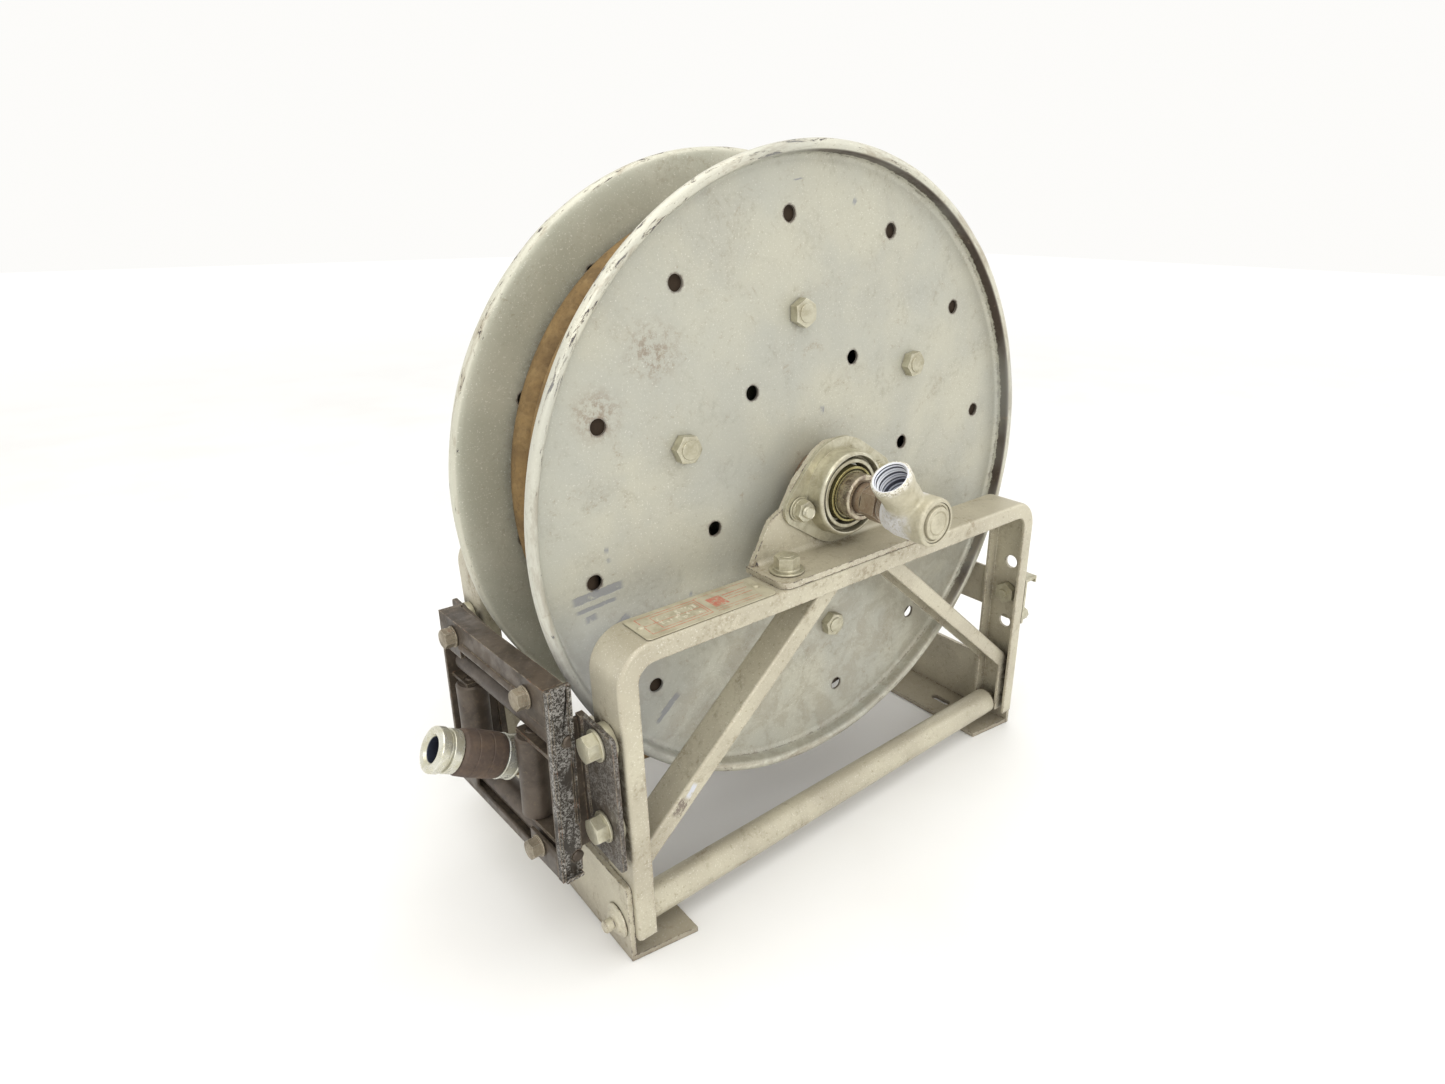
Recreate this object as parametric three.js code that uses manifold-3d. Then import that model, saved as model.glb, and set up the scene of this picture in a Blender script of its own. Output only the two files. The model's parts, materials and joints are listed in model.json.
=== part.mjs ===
// A spring-rewind hose reel. A drum with two pressed steel discs turns on a hollow axle between two
// side frames of bent channel. Water comes in through a swivel elbow on the near end of the axle, and
// the hose runs out through a four-roller guide on the left legs.
// Millimetres. X runs across the reel, Y along the axle from the near side to the far side, Z is up.
import * as THREE from "three";
import { mergeVertices } from "three/addons/utils/BufferGeometryUtils.js";
import Module from "manifold-3d";

const wasm = await Module();
wasm.setup();

// ---------------------------------------------------------------- driving dimensions
const GAP = 0.3; // clearance between pieces that touch
const ARC = 2; // segments in a small rounded corner
const ROUND = 8; // sides of a small round piece

const AXLE_Z = 308.7; // height of the axle
const AXLE_R = 12.6;
const AXLE_BORE = 8;

const DISC_R = 255; // over the rolled bead
const DISC_T = 2; // sheet thickness
const LIP = { near: 14, far: 9 }; // how far the rim stands out from the disc's face
const BEAD_R = 4.2; // rolled edge
const DISC_GAP = 108; // between the inner faces of the two discs
const DISC_SEGMENTS = 40;
const DRUM_SEGMENTS = 36; // the barrel and the hose round it
const OUTER_HOLES = { count: 12, ring: 208, radius: 5.8, start: 8.3 };
const INNER_HOLES = { count: 6, ring: 105, radius: 5.8, start: 8.6 };
const TIE_BOLTS = { count: 6, ring: 138.4, start: 38.1 };
const TIE_BOLT_R = 5.8;

const BARREL_R = 163.5;
const HOSE_R = 13.25;
const PACK_R = 217.2; // outside of the wound hose

const FRAME_X = 230; // half width over the legs
const FRAME_TOP = 260;
const FRAME_FOOT = 21; // underside of the legs
const FRAME_NEAR = [-66.8, -26.5]; // front and back of the near channel
const CHANNEL_T = 3;
const CHANNEL_FLANGE = 15;
const CORNER_R = 28;
const MIRROR_Y = 139.2; // near y + far y of matching points on the two frames

const BRACE_T = 3;
const BRACE_SLOPE = 0.888; // drop per unit of run
const BRACE_RIDGE = [52, 238]; // a point on the brace's upper edge

const FOOT_T = 4.5;
const FOOT_IN = 182; // inner edge of the foot's lower leaf
const FOOT_H = 68;
const ROD_R = 13;
const ROD_Z = 28.5;
const STUD_R = 4.8;
const LEG_HOLES = [121, 155, 188]; // heights of the holes in each leg
const LEG_HOLE_R = 6.7;
const LEG_BOLT_Y = -48.5; // line of the holes in the near legs
const ROD_Y = -44.5; // near tie rod
const FOOT_PAST = 66; // how far the feet run past the mirror of the drawing's front plane

const PLATE_T = 4.5; // bearing bracket
const BOLT_R = 4.8;

const GUIDE_X = [-265.3, -250]; // front and back of the hose guide's plates
const GUIDE_Y = [-30, 133];
const GUIDE_Z = [76, 229];
const GUIDE_T = 3;
const GUIDE_TURN = 3.4; // the guide's far end stands further out than its near end, in degrees
const GUIDE_LEAN = 2; // and its foot further out than its top
const PIN_R = 4.5;
const PIN_PLAY = 0.6;

const radians = THREE.MathUtils.degToRad;

// ---------------------------------------------------------------- solids
// A closed three.js geometry as a manifold solid.
function solid(geometry) {
  const bare = geometry.index ? geometry.toNonIndexed() : geometry.clone();
  bare.deleteAttribute("normal");
  bare.deleteAttribute("uv");
  const merged = mergeVertices(bare, 1e-3);
  const corners = merged.index.array;
  const triVerts = [];
  for (let i = 0; i < corners.length; i += 3) {
    const [a, b, c] = corners.subarray(i, i + 3);
    if (a !== b && b !== c && c !== a) triVerts.push(a, b, c);
  }
  return new wasm.Manifold(
    new wasm.Mesh({
      numProp: 3,
      vertProperties: merged.attributes.position.array,
      triVerts: new Uint32Array(triVerts),
    }),
  );
}

function union(...solids) {
  return solids.flat().reduce((whole, next) => whole.add(next));
}

function cut(body, ...tools) {
  return tools.flat().reduce((whole, tool) => whole.subtract(tool), body);
}

function geometryOf(body) {
  const mesh = body.getMesh();
  const geometry = new THREE.BufferGeometry();
  geometry.setAttribute("position", new THREE.BufferAttribute(mesh.vertProperties, 3));
  geometry.setIndex(new THREE.BufferAttribute(mesh.triVerts, 1));
  geometry.computeVertexNormals();
  return geometry;
}

function block([x0, x1], [y0, y1], [z0, z1]) {
  const box = new THREE.BoxGeometry(x1 - x0, y1 - y0, z1 - z0);
  return solid(box.translate((x0 + x1) / 2, (y0 + y1) / 2, (z0 + z1) / 2));
}

// A rod along an axis: across holds its place in the other two axes, in X, Y, Z order.
function rod(axis, [from, to], across, radius, sides = ROUND) {
  const cylinder = new THREE.CylinderGeometry(radius, radius, to - from, sides);
  const middle = (from + to) / 2;
  if (axis === "x") {
    cylinder.rotateZ(-Math.PI / 2).translate(middle, ...across);
  } else if (axis === "y") {
    cylinder.translate(across[0], middle, across[1]);
  } else {
    cylinder.rotateX(Math.PI / 2).translate(...across, middle);
  }
  return solid(cylinder);
}

// A hexagon across its flats.
function hex(axis, span, across, flats) {
  return rod(axis, span, across, flats / 2 / Math.cos(Math.PI / 6), 6);
}

// A ring or disc turned about the axle. The profile is a loop of [radius, y] points.
function turned(profile, segments = 18) {
  const area = profile.reduce((sum, [r, y], i) => {
    const [nextR, nextY] = profile[(i + 1) % profile.length];
    return sum + r * nextY - nextR * y;
  }, 0);
  const loop = area > 0 ? [...profile] : [...profile].reverse();
  const points = [...loop, loop[0]].map(([r, y]) => new THREE.Vector2(r, y));
  return solid(new THREE.LatheGeometry(points, segments).translate(0, 0, AXLE_Z));
}

// A sleeve about the axle.
function sleeve(inner, outer, [from, to], segments = 18) {
  return turned([[inner, from], [outer, from], [outer, to], [inner, to]], segments);
}

// An outline with rounded corners: each point is [u, v] or [u, v, corner radius].
function outline(points) {
  const shape = new THREE.Shape();
  const count = points.length;
  const at = (i) => new THREE.Vector2(points[i][0], points[i][1]);
  points.forEach(([, , radius = 0], i) => {
    const corner = at(i);
    const before = at((i + count - 1) % count);
    const after = at((i + 1) % count);
    const toBefore = before.clone().sub(corner).normalize();
    const toAfter = after.clone().sub(corner).normalize();
    const half = Math.acos(THREE.MathUtils.clamp(toBefore.dot(toAfter), -1, 1)) / 2;
    const reach = radius / Math.tan(half);
    const start = corner.clone().addScaledVector(toBefore, reach);
    if (i) shape.lineTo(start.x, start.y);
    else shape.moveTo(start.x, start.y);
    if (!radius) return;
    const middle = toBefore.clone().add(toAfter).setLength(radius / Math.sin(half)).add(corner);
    const end = corner.clone().addScaledVector(toAfter, reach);
    const clockwise = toBefore.cross(toAfter) > 0;
    shape.absarc(
      middle.x,
      middle.y,
      radius,
      Math.atan2(start.y - middle.y, start.x - middle.x),
      Math.atan2(end.y - middle.y, end.x - middle.x),
      clockwise,
    );
  });
  return shape;
}

const X = new THREE.Vector3(1, 0, 0);
const Y = new THREE.Vector3(0, 1, 0);
const Z = new THREE.Vector3(0, 0, 1);

// A flat piece between two planes across an axis. The outline is in Y,Z or X,Z or X,Y.
function plate(points, axis, [from, to]) {
  const depth = to - from;
  const shape = points instanceof THREE.Shape ? points : outline(points);
  const geometry = new THREE.ExtrudeGeometry(shape, { depth, bevelEnabled: false, curveSegments: ARC });
  if (axis === "x") {
    geometry.applyMatrix4(new THREE.Matrix4().makeBasis(Y, Z, X)).translate(from, 0, 0);
  } else if (axis === "y") {
    geometry.applyMatrix4(new THREE.Matrix4().makeBasis(X, Z, Y.clone().negate())).translate(0, to, 0);
  } else {
    geometry.translate(0, 0, from);
  }
  return solid(geometry);
}

// An open path moved to the right of its direction, with its corner radii made smaller to match.
function offset(path, distance) {
  const directions = path.slice(1).map(([x, z], i) => {
    return new THREE.Vector2(x - path[i][0], z - path[i][1]).normalize();
  });
  return path.map(([x, z, radius = 0], i) => {
    const into = directions[Math.max(i - 1, 0)];
    const out = directions[Math.min(i, directions.length - 1)];
    const normal = new THREE.Vector2(into.y + out.y, -into.x - out.x).normalize();
    const step = distance / (normal.x * into.y - normal.y * into.x);
    return [x + normal.x * step, z + normal.y * step, radius ? Math.max(radius - distance, 2) : 0];
  });
}

// A channel bent along a path in X,Z: its web follows the path, and its flanges turn to the right.
function channel(path, [near, far], flange, thickness) {
  const strip = (width) => [...path, ...offset(path, width).reverse()];
  return union(
    plate(strip(thickness), "y", [near, far]),
    plate(strip(flange), "y", [near, near + thickness]),
    plate(strip(flange), "y", [far - thickness, far]),
  );
}

// ---------------------------------------------------------------- placing
// The far side frame and what it carries mirror the near one.
function span(end, [from, to]) {
  return end === "near" ? [from, to] : [MIRROR_Y - to, MIRROR_Y - from];
}

function mirrored(end, y) {
  return end === "near" ? y : MIRROR_Y - y;
}

function mirrorX(points) {
  return points.map(([x, z, radius]) => [-x, z, radius]).reverse();
}

// The places of the members of a ring of holes or bolts in the disc's plane.
function ring({ count, ring: radius, start }) {
  return Array.from({ length: count }, (_, i) => {
    const angle = radians(start + (360 / count) * i);
    return [radius * Math.cos(angle), AXLE_Z + radius * Math.sin(angle)];
  });
}

const paint = { color: 0xb4b3a2, roughness: 0.5, metalness: 0.35 };
const discPaint = { color: 0xb3b6ad, roughness: 0.42, metalness: 0.45 };
const zinc = { color: 0xa9a692, roughness: 0.38, metalness: 0.85 };
const steel = { color: 0x8d8377, roughness: 0.5, metalness: 0.8 };
const castAlloy = { color: 0xb9b3a0, roughness: 0.6, metalness: 0.6 };
const blackPaint = { color: 0x2c2a27, roughness: 0.55, metalness: 0.2 };
const rollerSteel = { color: 0x3b342d, roughness: 0.45, metalness: 0.5 };
const hoseRubber = { color: 0x8a6a44, roughness: 0.85, metalness: 0 };
const sleeveRubber = { color: 0x4b3a2d, roughness: 0.8, metalness: 0 };
const label = { color: 0xb9b4a0, roughness: 0.4, metalness: 0.5 };

const reel = new THREE.Group();

function add(name, body, finish) {
  const mesh = new THREE.Mesh(geometryOf(body), new THREE.MeshStandardMaterial(finish));
  mesh.name = name;
  reel.add(mesh);
  return mesh;
}

// ---------------------------------------------------------------- side frames
function legHoles(end) {
  const across = mirrored(end, LEG_BOLT_Y);
  const through = [-FRAME_X - 10, FRAME_X + 10];
  return LEG_HOLES.map((z) => rod("x", through, [across, z], LEG_HOLE_R));
}

function rodHoles(end) {
  const across = mirrored(end, ROD_Y);
  return rod("x", [-FRAME_X - 20, FRAME_X + 20], [across, ROD_Z], STUD_R + GAP);
}

const BRACKET_BOLT_X = 72;
const BRACKET_BOLT_Y = -46.5;

for (const end of ["near", "far"]) {
  const path = [
    [-FRAME_X, FRAME_FOOT],
    [-FRAME_X, FRAME_TOP, CORNER_R],
    [FRAME_X, FRAME_TOP, CORNER_R],
    [FRAME_X, FRAME_FOOT],
  ];
  const boltHoles = [-BRACKET_BOLT_X, BRACKET_BOLT_X].map((x) => {
    return rod("z", [FRAME_TOP - 10, FRAME_TOP + 5], [x, mirrored(end, BRACKET_BOLT_Y)], BOLT_R + GAP);
  });
  const bar = channel(path, span(end, FRAME_NEAR), CHANNEL_FLANGE, CHANNEL_T);
  add(`side_frame_${end}`, cut(bar, legHoles(end), rodHoles(end), boltHoles), paint);
}

// ---------------------------------------------------------------- braces
const BRACE_Y = [-58.5, -30];
const BRACE_FLANGE = 14.5;

for (const end of ["near", "far"]) {
  for (const side of ["left", "right"]) {
    const legX = FRAME_X - CHANNEL_T - GAP;
    const zAt = (x) => BRACE_RIDGE[1] - BRACE_SLOPE * (x - BRACE_RIDGE[0]);
    const left = [
      [-legX, FRAME_FOOT + 2],
      [-legX, zAt(legX), 18],
      [0, zAt(0)],
    ];
    const path = side === "left" ? left : mirrorX(left);
    const bar = channel(path, span(end, BRACE_Y), BRACE_FLANGE, BRACE_T);
    const aboveBar = block([-300, 300], [-100, 300], [FRAME_TOP - CHANNEL_T - GAP, 400]);
    const beyondMiddle = side === "left" ? [0, 60] : [-60, 0];
    const otherSide = block(beyondMiddle, [-100, 300], [200, 400]);
    add(`brace_${end}_${side}`, cut(bar, aboveBar, otherSide, rodHoles(end)), paint);
  }
}

// ---------------------------------------------------------------- feet and tie rods
const SLOT = { x: 207, y: 9, halfWidth: 4, halfLength: 12 };
const footBack = MIRROR_Y + FOOT_PAST;

function slotAt(x, y) {
  const { halfWidth, halfLength } = SLOT;
  const corners = [
    [x - halfWidth, y - halfLength, halfWidth - 0.1],
    [x + halfWidth, y - halfLength, halfWidth - 0.1],
    [x + halfWidth, y + halfLength, halfWidth - 0.1],
    [x - halfWidth, y + halfLength, halfWidth - 0.1],
  ];
  return plate(corners, "z", [-5, FOOT_T + 5]);
}

for (const side of ["left", "right"]) {
  const sign = side === "left" ? -1 : 1;
  const inner = sign * FOOT_IN;
  const outer = sign * (FRAME_X + GAP + FOOT_T - 0.5);
  const frontSkew = side === "left" ? [-70, -61] : [-55, -62]; // inner and outer corner
  const leaf = [
    [inner, frontSkew[0]],
    [outer, frontSkew[1]],
    [outer, footBack],
    [inner, footBack],
  ];
  const wallX = [outer, sign * (FRAME_X + GAP)].sort((a, b) => a - b);
  const wall = [
    [frontSkew[1], 0],
    [footBack, 0],
    [footBack, FOOT_H, 6],
    [frontSkew[1], FOOT_H, 4],
  ];
  const angle = union(plate(leaf, "z", [0, FOOT_T]), plate(wall, "x", wallX));
  const slots = ["near", "far"].map((end) => slotAt(sign * SLOT.x, mirrored(end, SLOT.y)));
  add(`foot_${side}`, cut(angle, slots, rodHoles("near"), rodHoles("far")), paint);
}

for (const end of ["near", "far"]) {
  const across = [mirrored(end, ROD_Y), ROD_Z];
  const tubeEnd = FRAME_X - CHANNEL_T - BRACE_FLANGE - 2 * GAP;
  const nutIn = FRAME_X + FOOT_T + 0.1;
  const pieces = [
    rod("x", [-tubeEnd, tubeEnd], across, ROD_R, 14),
    rod("x", [-nutIn - 12, nutIn + 12], across, STUD_R),
  ];
  for (const sign of [-1, 1]) {
    const along = (from, to) => [sign * from, sign * to].sort((a, b) => a - b);
    pieces.push(rod("x", along(nutIn, nutIn + 2.2), across, 13.5, 12));
    pieces.push(rod("x", along(nutIn + 2, nutIn + 4.4), across, 10, 10));
  }
  add(`tie_rod_${end}`, union(pieces), paint);
}

// A strap between the right legs, low enough to clear the discs.
const strapY = [FRAME_NEAR[1] + GAP, MIRROR_Y - FRAME_NEAR[1] - GAP];
add("cross_strap", block([FRAME_X - 9, FRAME_X - 5.5], strapY, [134, 176]), paint);

// ---------------------------------------------------------------- bearings
const UPRIGHT_Y = -25; // front of the near bracket's upright
const PAWL_PIVOT = [80, 280];

function pawlHole() {
  return rod("y", [140, 190], PAWL_PIVOT, 4 + GAP);
}

const HOUSING_TILT = radians(8);
const HOUSING_BOLT_R = 44.4;
const HOUSING_T = 3.2;

function housingBoltAt(sign) {
  return [
    sign * HOUSING_BOLT_R * Math.cos(HOUSING_TILT),
    AXLE_Z + sign * HOUSING_BOLT_R * Math.sin(HOUSING_TILT),
  ];
}

function bracket(end) {
  const half = [
    [88, FRAME_TOP + GAP],
    [88, 266, 3],
    [70, 298, 6],
    [58, 304, 6],
    [46, 324, 10],
    [26, 343, 16],
    [14, 350.5, 20],
  ];
  const face = [...half, ...mirrorX(half)];
  const upright = plate(face, "y", span(end, [UPRIGHT_Y, UPRIGHT_Y + PLATE_T]));
  const [y0, y1] = span(end, [-66, UPRIGHT_Y + 1]);
  const frontR = end === "near" ? 6 : 0;
  const backR = 6 - frontR;
  const base = plate([[-91, y0, frontR], [91, y0, frontR], [91, y1, backR], [-91, y1, backR]], "z", [
    FRAME_TOP + GAP,
    FRAME_TOP + GAP + PLATE_T,
  ]);
  const boltY = mirrored(end, BRACKET_BOLT_Y);
  const holes = [-1, 1].flatMap((sign) => [
    rod("z", [FRAME_TOP - 10, FRAME_TOP + 20], [sign * BRACKET_BOLT_X, boltY], BOLT_R + GAP),
    rod("y", span(end, [-40, 0]), housingBoltAt(sign), BOLT_R + GAP),
  ]);
  return cut(union(upright, base), rod("y", span(end, [-40, 0]), [0, AXLE_Z], 29.5, 18), holes);
}

// A pressed two-bolt flange with a dish that holds the bearing's outer ring. The flange is a rhomb
// whose sides touch a circle about the axle and a smaller one about each bolt.
function housing(end) {
  const back = UPRIGHT_Y - GAP;
  const front = back - HOUSING_T;
  const middleR = 43.4;
  const earR = 14;
  const lean = Math.acos((middleR - earR) / HOUSING_BOLT_R);
  const tip = middleR / Math.cos(lean);
  const crown = middleR / Math.sin(lean);
  const turn = (x, z, radius) => [
    x * Math.cos(HOUSING_TILT) - z * Math.sin(HOUSING_TILT),
    AXLE_Z + x * Math.sin(HOUSING_TILT) + z * Math.cos(HOUSING_TILT),
    radius,
  ];
  const rhomb = [turn(tip, 0, earR), turn(0, crown, middleR), turn(-tip, 0, earR), turn(0, -crown, middleR)];
  const dish = [
    [25, front],
    [25, -41.5],
    [28, -41.5],
    [28.5, -35],
    [31, -35],
    [31.5, -43.5],
    [34.2, -43],
    [34.4, front],
    [33, back],
    [28, back],
  ];
  const profile = end === "near" ? dish : dish.map(([r, y]) => [r, MIRROR_Y - y]);
  const bore = rod("y", span(end, [-40, -20]), [0, AXLE_Z], 30, 18);
  const opened = cut(plate(rhomb, "y", span(end, [front, back])), bore);
  const holes = [-1, 1].map((sign) => rod("y", span(end, [-40, 0]), housingBoltAt(sign), BOLT_R + GAP));
  return cut(union(opened, turned(profile)), holes);
}

for (const end of ["near", "far"]) {
  add(`bearing_bracket_${end}`, end === "far" ? cut(bracket(end), pawlHole()) : bracket(end), paint);
  add(`bearing_housing_${end}`, housing(end), zinc);
}

for (const [side, sign] of [["left", -1], ["right", 1]]) {
  const stand = FRAME_TOP + 2 * GAP + PLATE_T;
  const under = FRAME_TOP - CHANNEL_T - GAP;
  const at = [sign * BRACKET_BOLT_X, BRACKET_BOLT_Y];
  const standing = union(
    rod("z", [stand, stand + 2.4], at, 13.5, 12),
    rod("z", [stand + 2.2, stand + 4.4], at, 10.5, 10),
    hex("z", [stand + 4.2, stand + 12.5], at, 17),
    rod("z", [under - 12, stand + 3], at, BOLT_R),
    hex("z", [under - 9, under], at, 17),
  );
  add(`bracket_bolt_near_${side}`, standing, zinc);

  const front = UPRIGHT_Y - 2 * GAP - HOUSING_T;
  const behind = UPRIGHT_Y + PLATE_T + GAP;
  const across = housingBoltAt(sign);
  const lying = union(
    rod("y", [front - 2, front], across, 10),
    hex("y", [front - 9, front - 1.8], across, 15),
    rod("y", [front - 13, behind + 1], across, BOLT_R),
    hex("y", [behind, behind + 5.5], across, 15),
  );
  add(`housing_bolt_near_${side}`, lying, zinc);
}

// ---------------------------------------------------------------- drum
// A disc with holes, a raised lip and a rolled bead. The lip stands out away from the hose.
function disc(end) {
  const side = end === "near" ? -1 : 1;
  const lip = LIP[end];
  const face = end === "near" ? 0 : DISC_GAP + 2 * DISC_T;
  const y = (out) => face + side * out;
  const lipR = DISC_R - 2 * BEAD_R;
  const profile = [
    [19, y(0)],
    [lipR - 6, y(0)],
    [lipR - 1, y(4)],
  ];
  for (let turn = 180; turn >= -90; turn -= 90) {
    const angle = radians(turn);
    profile.push([DISC_R - BEAD_R + BEAD_R * Math.cos(angle), y(lip - BEAD_R + BEAD_R * Math.sin(angle))]);
  }
  profile.push([lipR + 1.2, y(4)], [lipR - 1, y(0)], [lipR - 5, y(-DISC_T)], [19, y(-DISC_T)]);
  const through = [face - 10, face + 10];
  const holes = [OUTER_HOLES, INNER_HOLES].flatMap((holeRing) => {
    return ring(holeRing).map((at) => rod("y", through, at, holeRing.radius, 6));
  });
  const boltHoles = ring(TIE_BOLTS).map((at) => rod("y", through, at, TIE_BOLT_R + 1, 6));
  return cut(turned(profile, DISC_SEGMENTS), holes, boltHoles);
}

const DISC_BACK = DISC_GAP + 2 * DISC_T; // the far disc's outer face
add("disc_near", disc("near"), discPaint);
add("disc_far", disc("far"), discPaint);

const RISER_ANGLE = radians(68);
const riserDirection = new THREE.Vector3(Math.cos(RISER_ANGLE), 0, Math.sin(RISER_ANGLE));
const RISER_Y = 22;

// A round bar from the axle's centre line outwards.
function spoke(direction, y, [from, to], radius, sides = ROUND) {
  const bar = new THREE.CylinderGeometry(radius, radius, to - from, sides);
  const turn = new THREE.Quaternion().setFromUnitVectors(Y, direction);
  bar.translate(0, (from + to) / 2, 0).applyQuaternion(turn);
  return solid(bar.translate(0, y, AXLE_Z));
}

const barrel = sleeve(BARREL_R - DISC_T, BARREL_R, [DISC_T + GAP, DISC_GAP + DISC_T - GAP], DRUM_SEGMENTS);
add("drum_barrel", cut(barrel, spoke(riserDirection, RISER_Y, [100, 200], 11)), discPaint);

const AXLE_NEAR = -62;
const AXLE_FAR = 196;
const axle = union(
  sleeve(AXLE_BORE, AXLE_R, [AXLE_NEAR, AXLE_FAR]),
  sleeve(AXLE_BORE, 27, [-20, -GAP]),
  sleeve(AXLE_BORE, 18.6, [-1, DISC_BACK + 1]),
  sleeve(AXLE_BORE, 27, [DISC_T + GAP, 9]),
  sleeve(AXLE_BORE, 27, [DISC_BACK - DISC_T - 7, DISC_BACK - DISC_T - GAP]),
  spoke(riserDirection, RISER_Y, [AXLE_R - 2, BARREL_R - DISC_T - 1], 10),
);
const waterway = [
  spoke(riserDirection, RISER_Y, [0, BARREL_R], 7),
  rod("y", [AXLE_FAR - 12, AXLE_FAR + 5], [0, AXLE_Z], 6),
];
add("axle", cut(axle, waterway), steel);

const nippleHex = hex("y", [-78, AXLE_NEAR - GAP - 1], [0, AXLE_Z], 26);
const nippleBore = rod("y", [-80, -60], [0, AXLE_Z], AXLE_BORE, 18);
const nippleTube = sleeve(AXLE_BORE, 11.8, [-99, AXLE_NEAR - GAP]);
add("inlet_nipple", union(nippleTube, cut(nippleHex, nippleBore)), steel);

for (const end of ["near", "far"]) {
  const bearing = sleeve(AXLE_R + GAP, 22.5, span(end, [-43, -22]));
  const collar = sleeve(AXLE_R + GAP, 18.5, span(end, [-56, -42]));
  add(`bearing_ring_${end}`, union(bearing, collar), zinc);
}

ring(TIE_BOLTS).forEach((at, i) => {
  const near = -GAP;
  const far = DISC_BACK + GAP;
  const bolt = union(
    rod("y", [near - 9.5, near - 5], at, 7.2, 12),
    hex("y", [near - 8, near], at, 19),
    rod("y", [near - 1, far + 14], at, TIE_BOLT_R),
    hex("y", [far, far + 9], at, 19),
  );
  add(`tie_bolt_${i + 1}`, bolt, zinc);
});

// ---------------------------------------------------------------- rewind spring and ratchet
const CASE_R = 121;
const CASE_Y = [DISC_BACK + GAP, DISC_BACK + 37];
const PAN_R = 221; // the case's wide foot, which covers the disc's holes and the tie bolts' nuts
const PAN_Y = CASE_Y[0] + 18;
const RATCHET_R = 60;
const RATCHET_Y = [CASE_Y[1] + GAP, CASE_Y[1] + 5];
const NOTCHES = 8;
const NOTCH_DEPTH = 8;

const springCase = [
  [PAN_R, CASE_Y[0]],
  [PAN_R, PAN_Y - 3],
  [PAN_R - 3, PAN_Y],
  [CASE_R, PAN_Y],
  [CASE_R, CASE_Y[1] - 4],
  [CASE_R - 4, CASE_Y[1]],
  [26, CASE_Y[1]],
  [26, CASE_Y[1] - DISC_T],
  [CASE_R - 5, CASE_Y[1] - DISC_T],
  [CASE_R - DISC_T, CASE_Y[1] - 5],
  [CASE_R - DISC_T, PAN_Y - DISC_T],
  [PAN_R - 4, PAN_Y - DISC_T],
  [PAN_R - DISC_T, PAN_Y - 4],
  [PAN_R - DISC_T, CASE_Y[0]],
];
add("spring_case", turned(springCase, 28), discPaint);

const SPRING = { inner: 25.5, outer: CASE_R - DISC_T - 3, turns: 5, perTurn: 14, thickness: 1.4 };

function spiral(radiusOffset) {
  const steps = SPRING.turns * SPRING.perTurn;
  return Array.from({ length: steps + 1 }, (_, i) => {
    const angle = (2 * Math.PI * i) / SPRING.perTurn;
    const growth = SPRING.outer - SPRING.thickness - SPRING.inner;
    const radius = SPRING.inner + (growth * i) / steps + radiusOffset;
    return [radius * Math.cos(angle), AXLE_Z + radius * Math.sin(angle)];
  });
}

const springOutline = [...spiral(0), ...spiral(SPRING.thickness).reverse()];
add("rewind_spring", plate(springOutline, "y", [CASE_Y[0] + 4, CASE_Y[1] - 6]), steel);
add("spring_arbor", sleeve(AXLE_R + 2, 24.5, [DISC_BACK + 6, MIRROR_Y + 20]), steel);

// The ratchet has square notches, and the pawl's nose drops into one of them.
const notchTools = Array.from({ length: NOTCHES }, (_, i) => {
  const angle = (2 * Math.PI * i) / NOTCHES;
  const box = new THREE.BoxGeometry(2 * NOTCH_DEPTH, 20, 20);
  box.translate(RATCHET_R, 0, 0).rotateY(-angle);
  return solid(box.translate(0, RATCHET_Y[0], AXLE_Z));
});
add("ratchet_wheel", cut(sleeve(26, RATCHET_R, RATCHET_Y, 32), notchTools), steel);

const pawlOutline = [
  [PAWL_PIVOT[0] - 7, PAWL_PIVOT[1] - 7, 6],
  [PAWL_PIVOT[0] + 7, PAWL_PIVOT[1] - 7, 6],
  [PAWL_PIVOT[0] + 7, PAWL_PIVOT[1] + 4, 3],
  [67, AXLE_Z + 3.5, 1],
  [62, AXLE_Z + 3.5],
  [62, AXLE_Z - 4],
];
const pawl = union(
  plate(pawlOutline, "y", RATCHET_Y),
  rod("y", [RATCHET_Y[0], RATCHET_Y[1] + 16], PAWL_PIVOT, 4),
);
add("pawl", pawl, steel);

// ---------------------------------------------------------------- swivel elbow
const SWIVEL_Y = [-128, -86];
const PORT = { y: -105, angle: radians(128), reach: 44, outer: 15.8, bore: 12.4 };
const portDirection = new THREE.Vector3(Math.cos(PORT.angle), 0, Math.sin(PORT.angle));

const swivelShell = union(
  turned([
    [0.001, SWIVEL_Y[0]],
    [18.5, SWIVEL_Y[0]],
    [18.5, -97],
    [17, -90],
    [16.6, SWIVEL_Y[1]],
    [0.001, SWIVEL_Y[1]],
  ]),
  spoke(portDirection, PORT.y, [0, PORT.reach - 9], PORT.outer - 1, 14),
  spoke(portDirection, PORT.y, [PORT.reach - 10, PORT.reach], PORT.outer, 14),
);
const swivelBody = cut(
  swivelShell,
  rod("y", [-117, -80], [0, AXLE_Z], 12.1, 16),
  spoke(portDirection, PORT.y, [0, PORT.reach + 5], PORT.bore - 2, 14),
  spoke(portDirection, PORT.y, [PORT.reach - 18, PORT.reach + 5], PORT.bore, 14),
  rod("y", [SWIVEL_Y[0] - 5, SWIVEL_Y[0] + 4], [0, AXLE_Z], 15.5, 16),
);
add("swivel_body", swivelBody, castAlloy);
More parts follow.
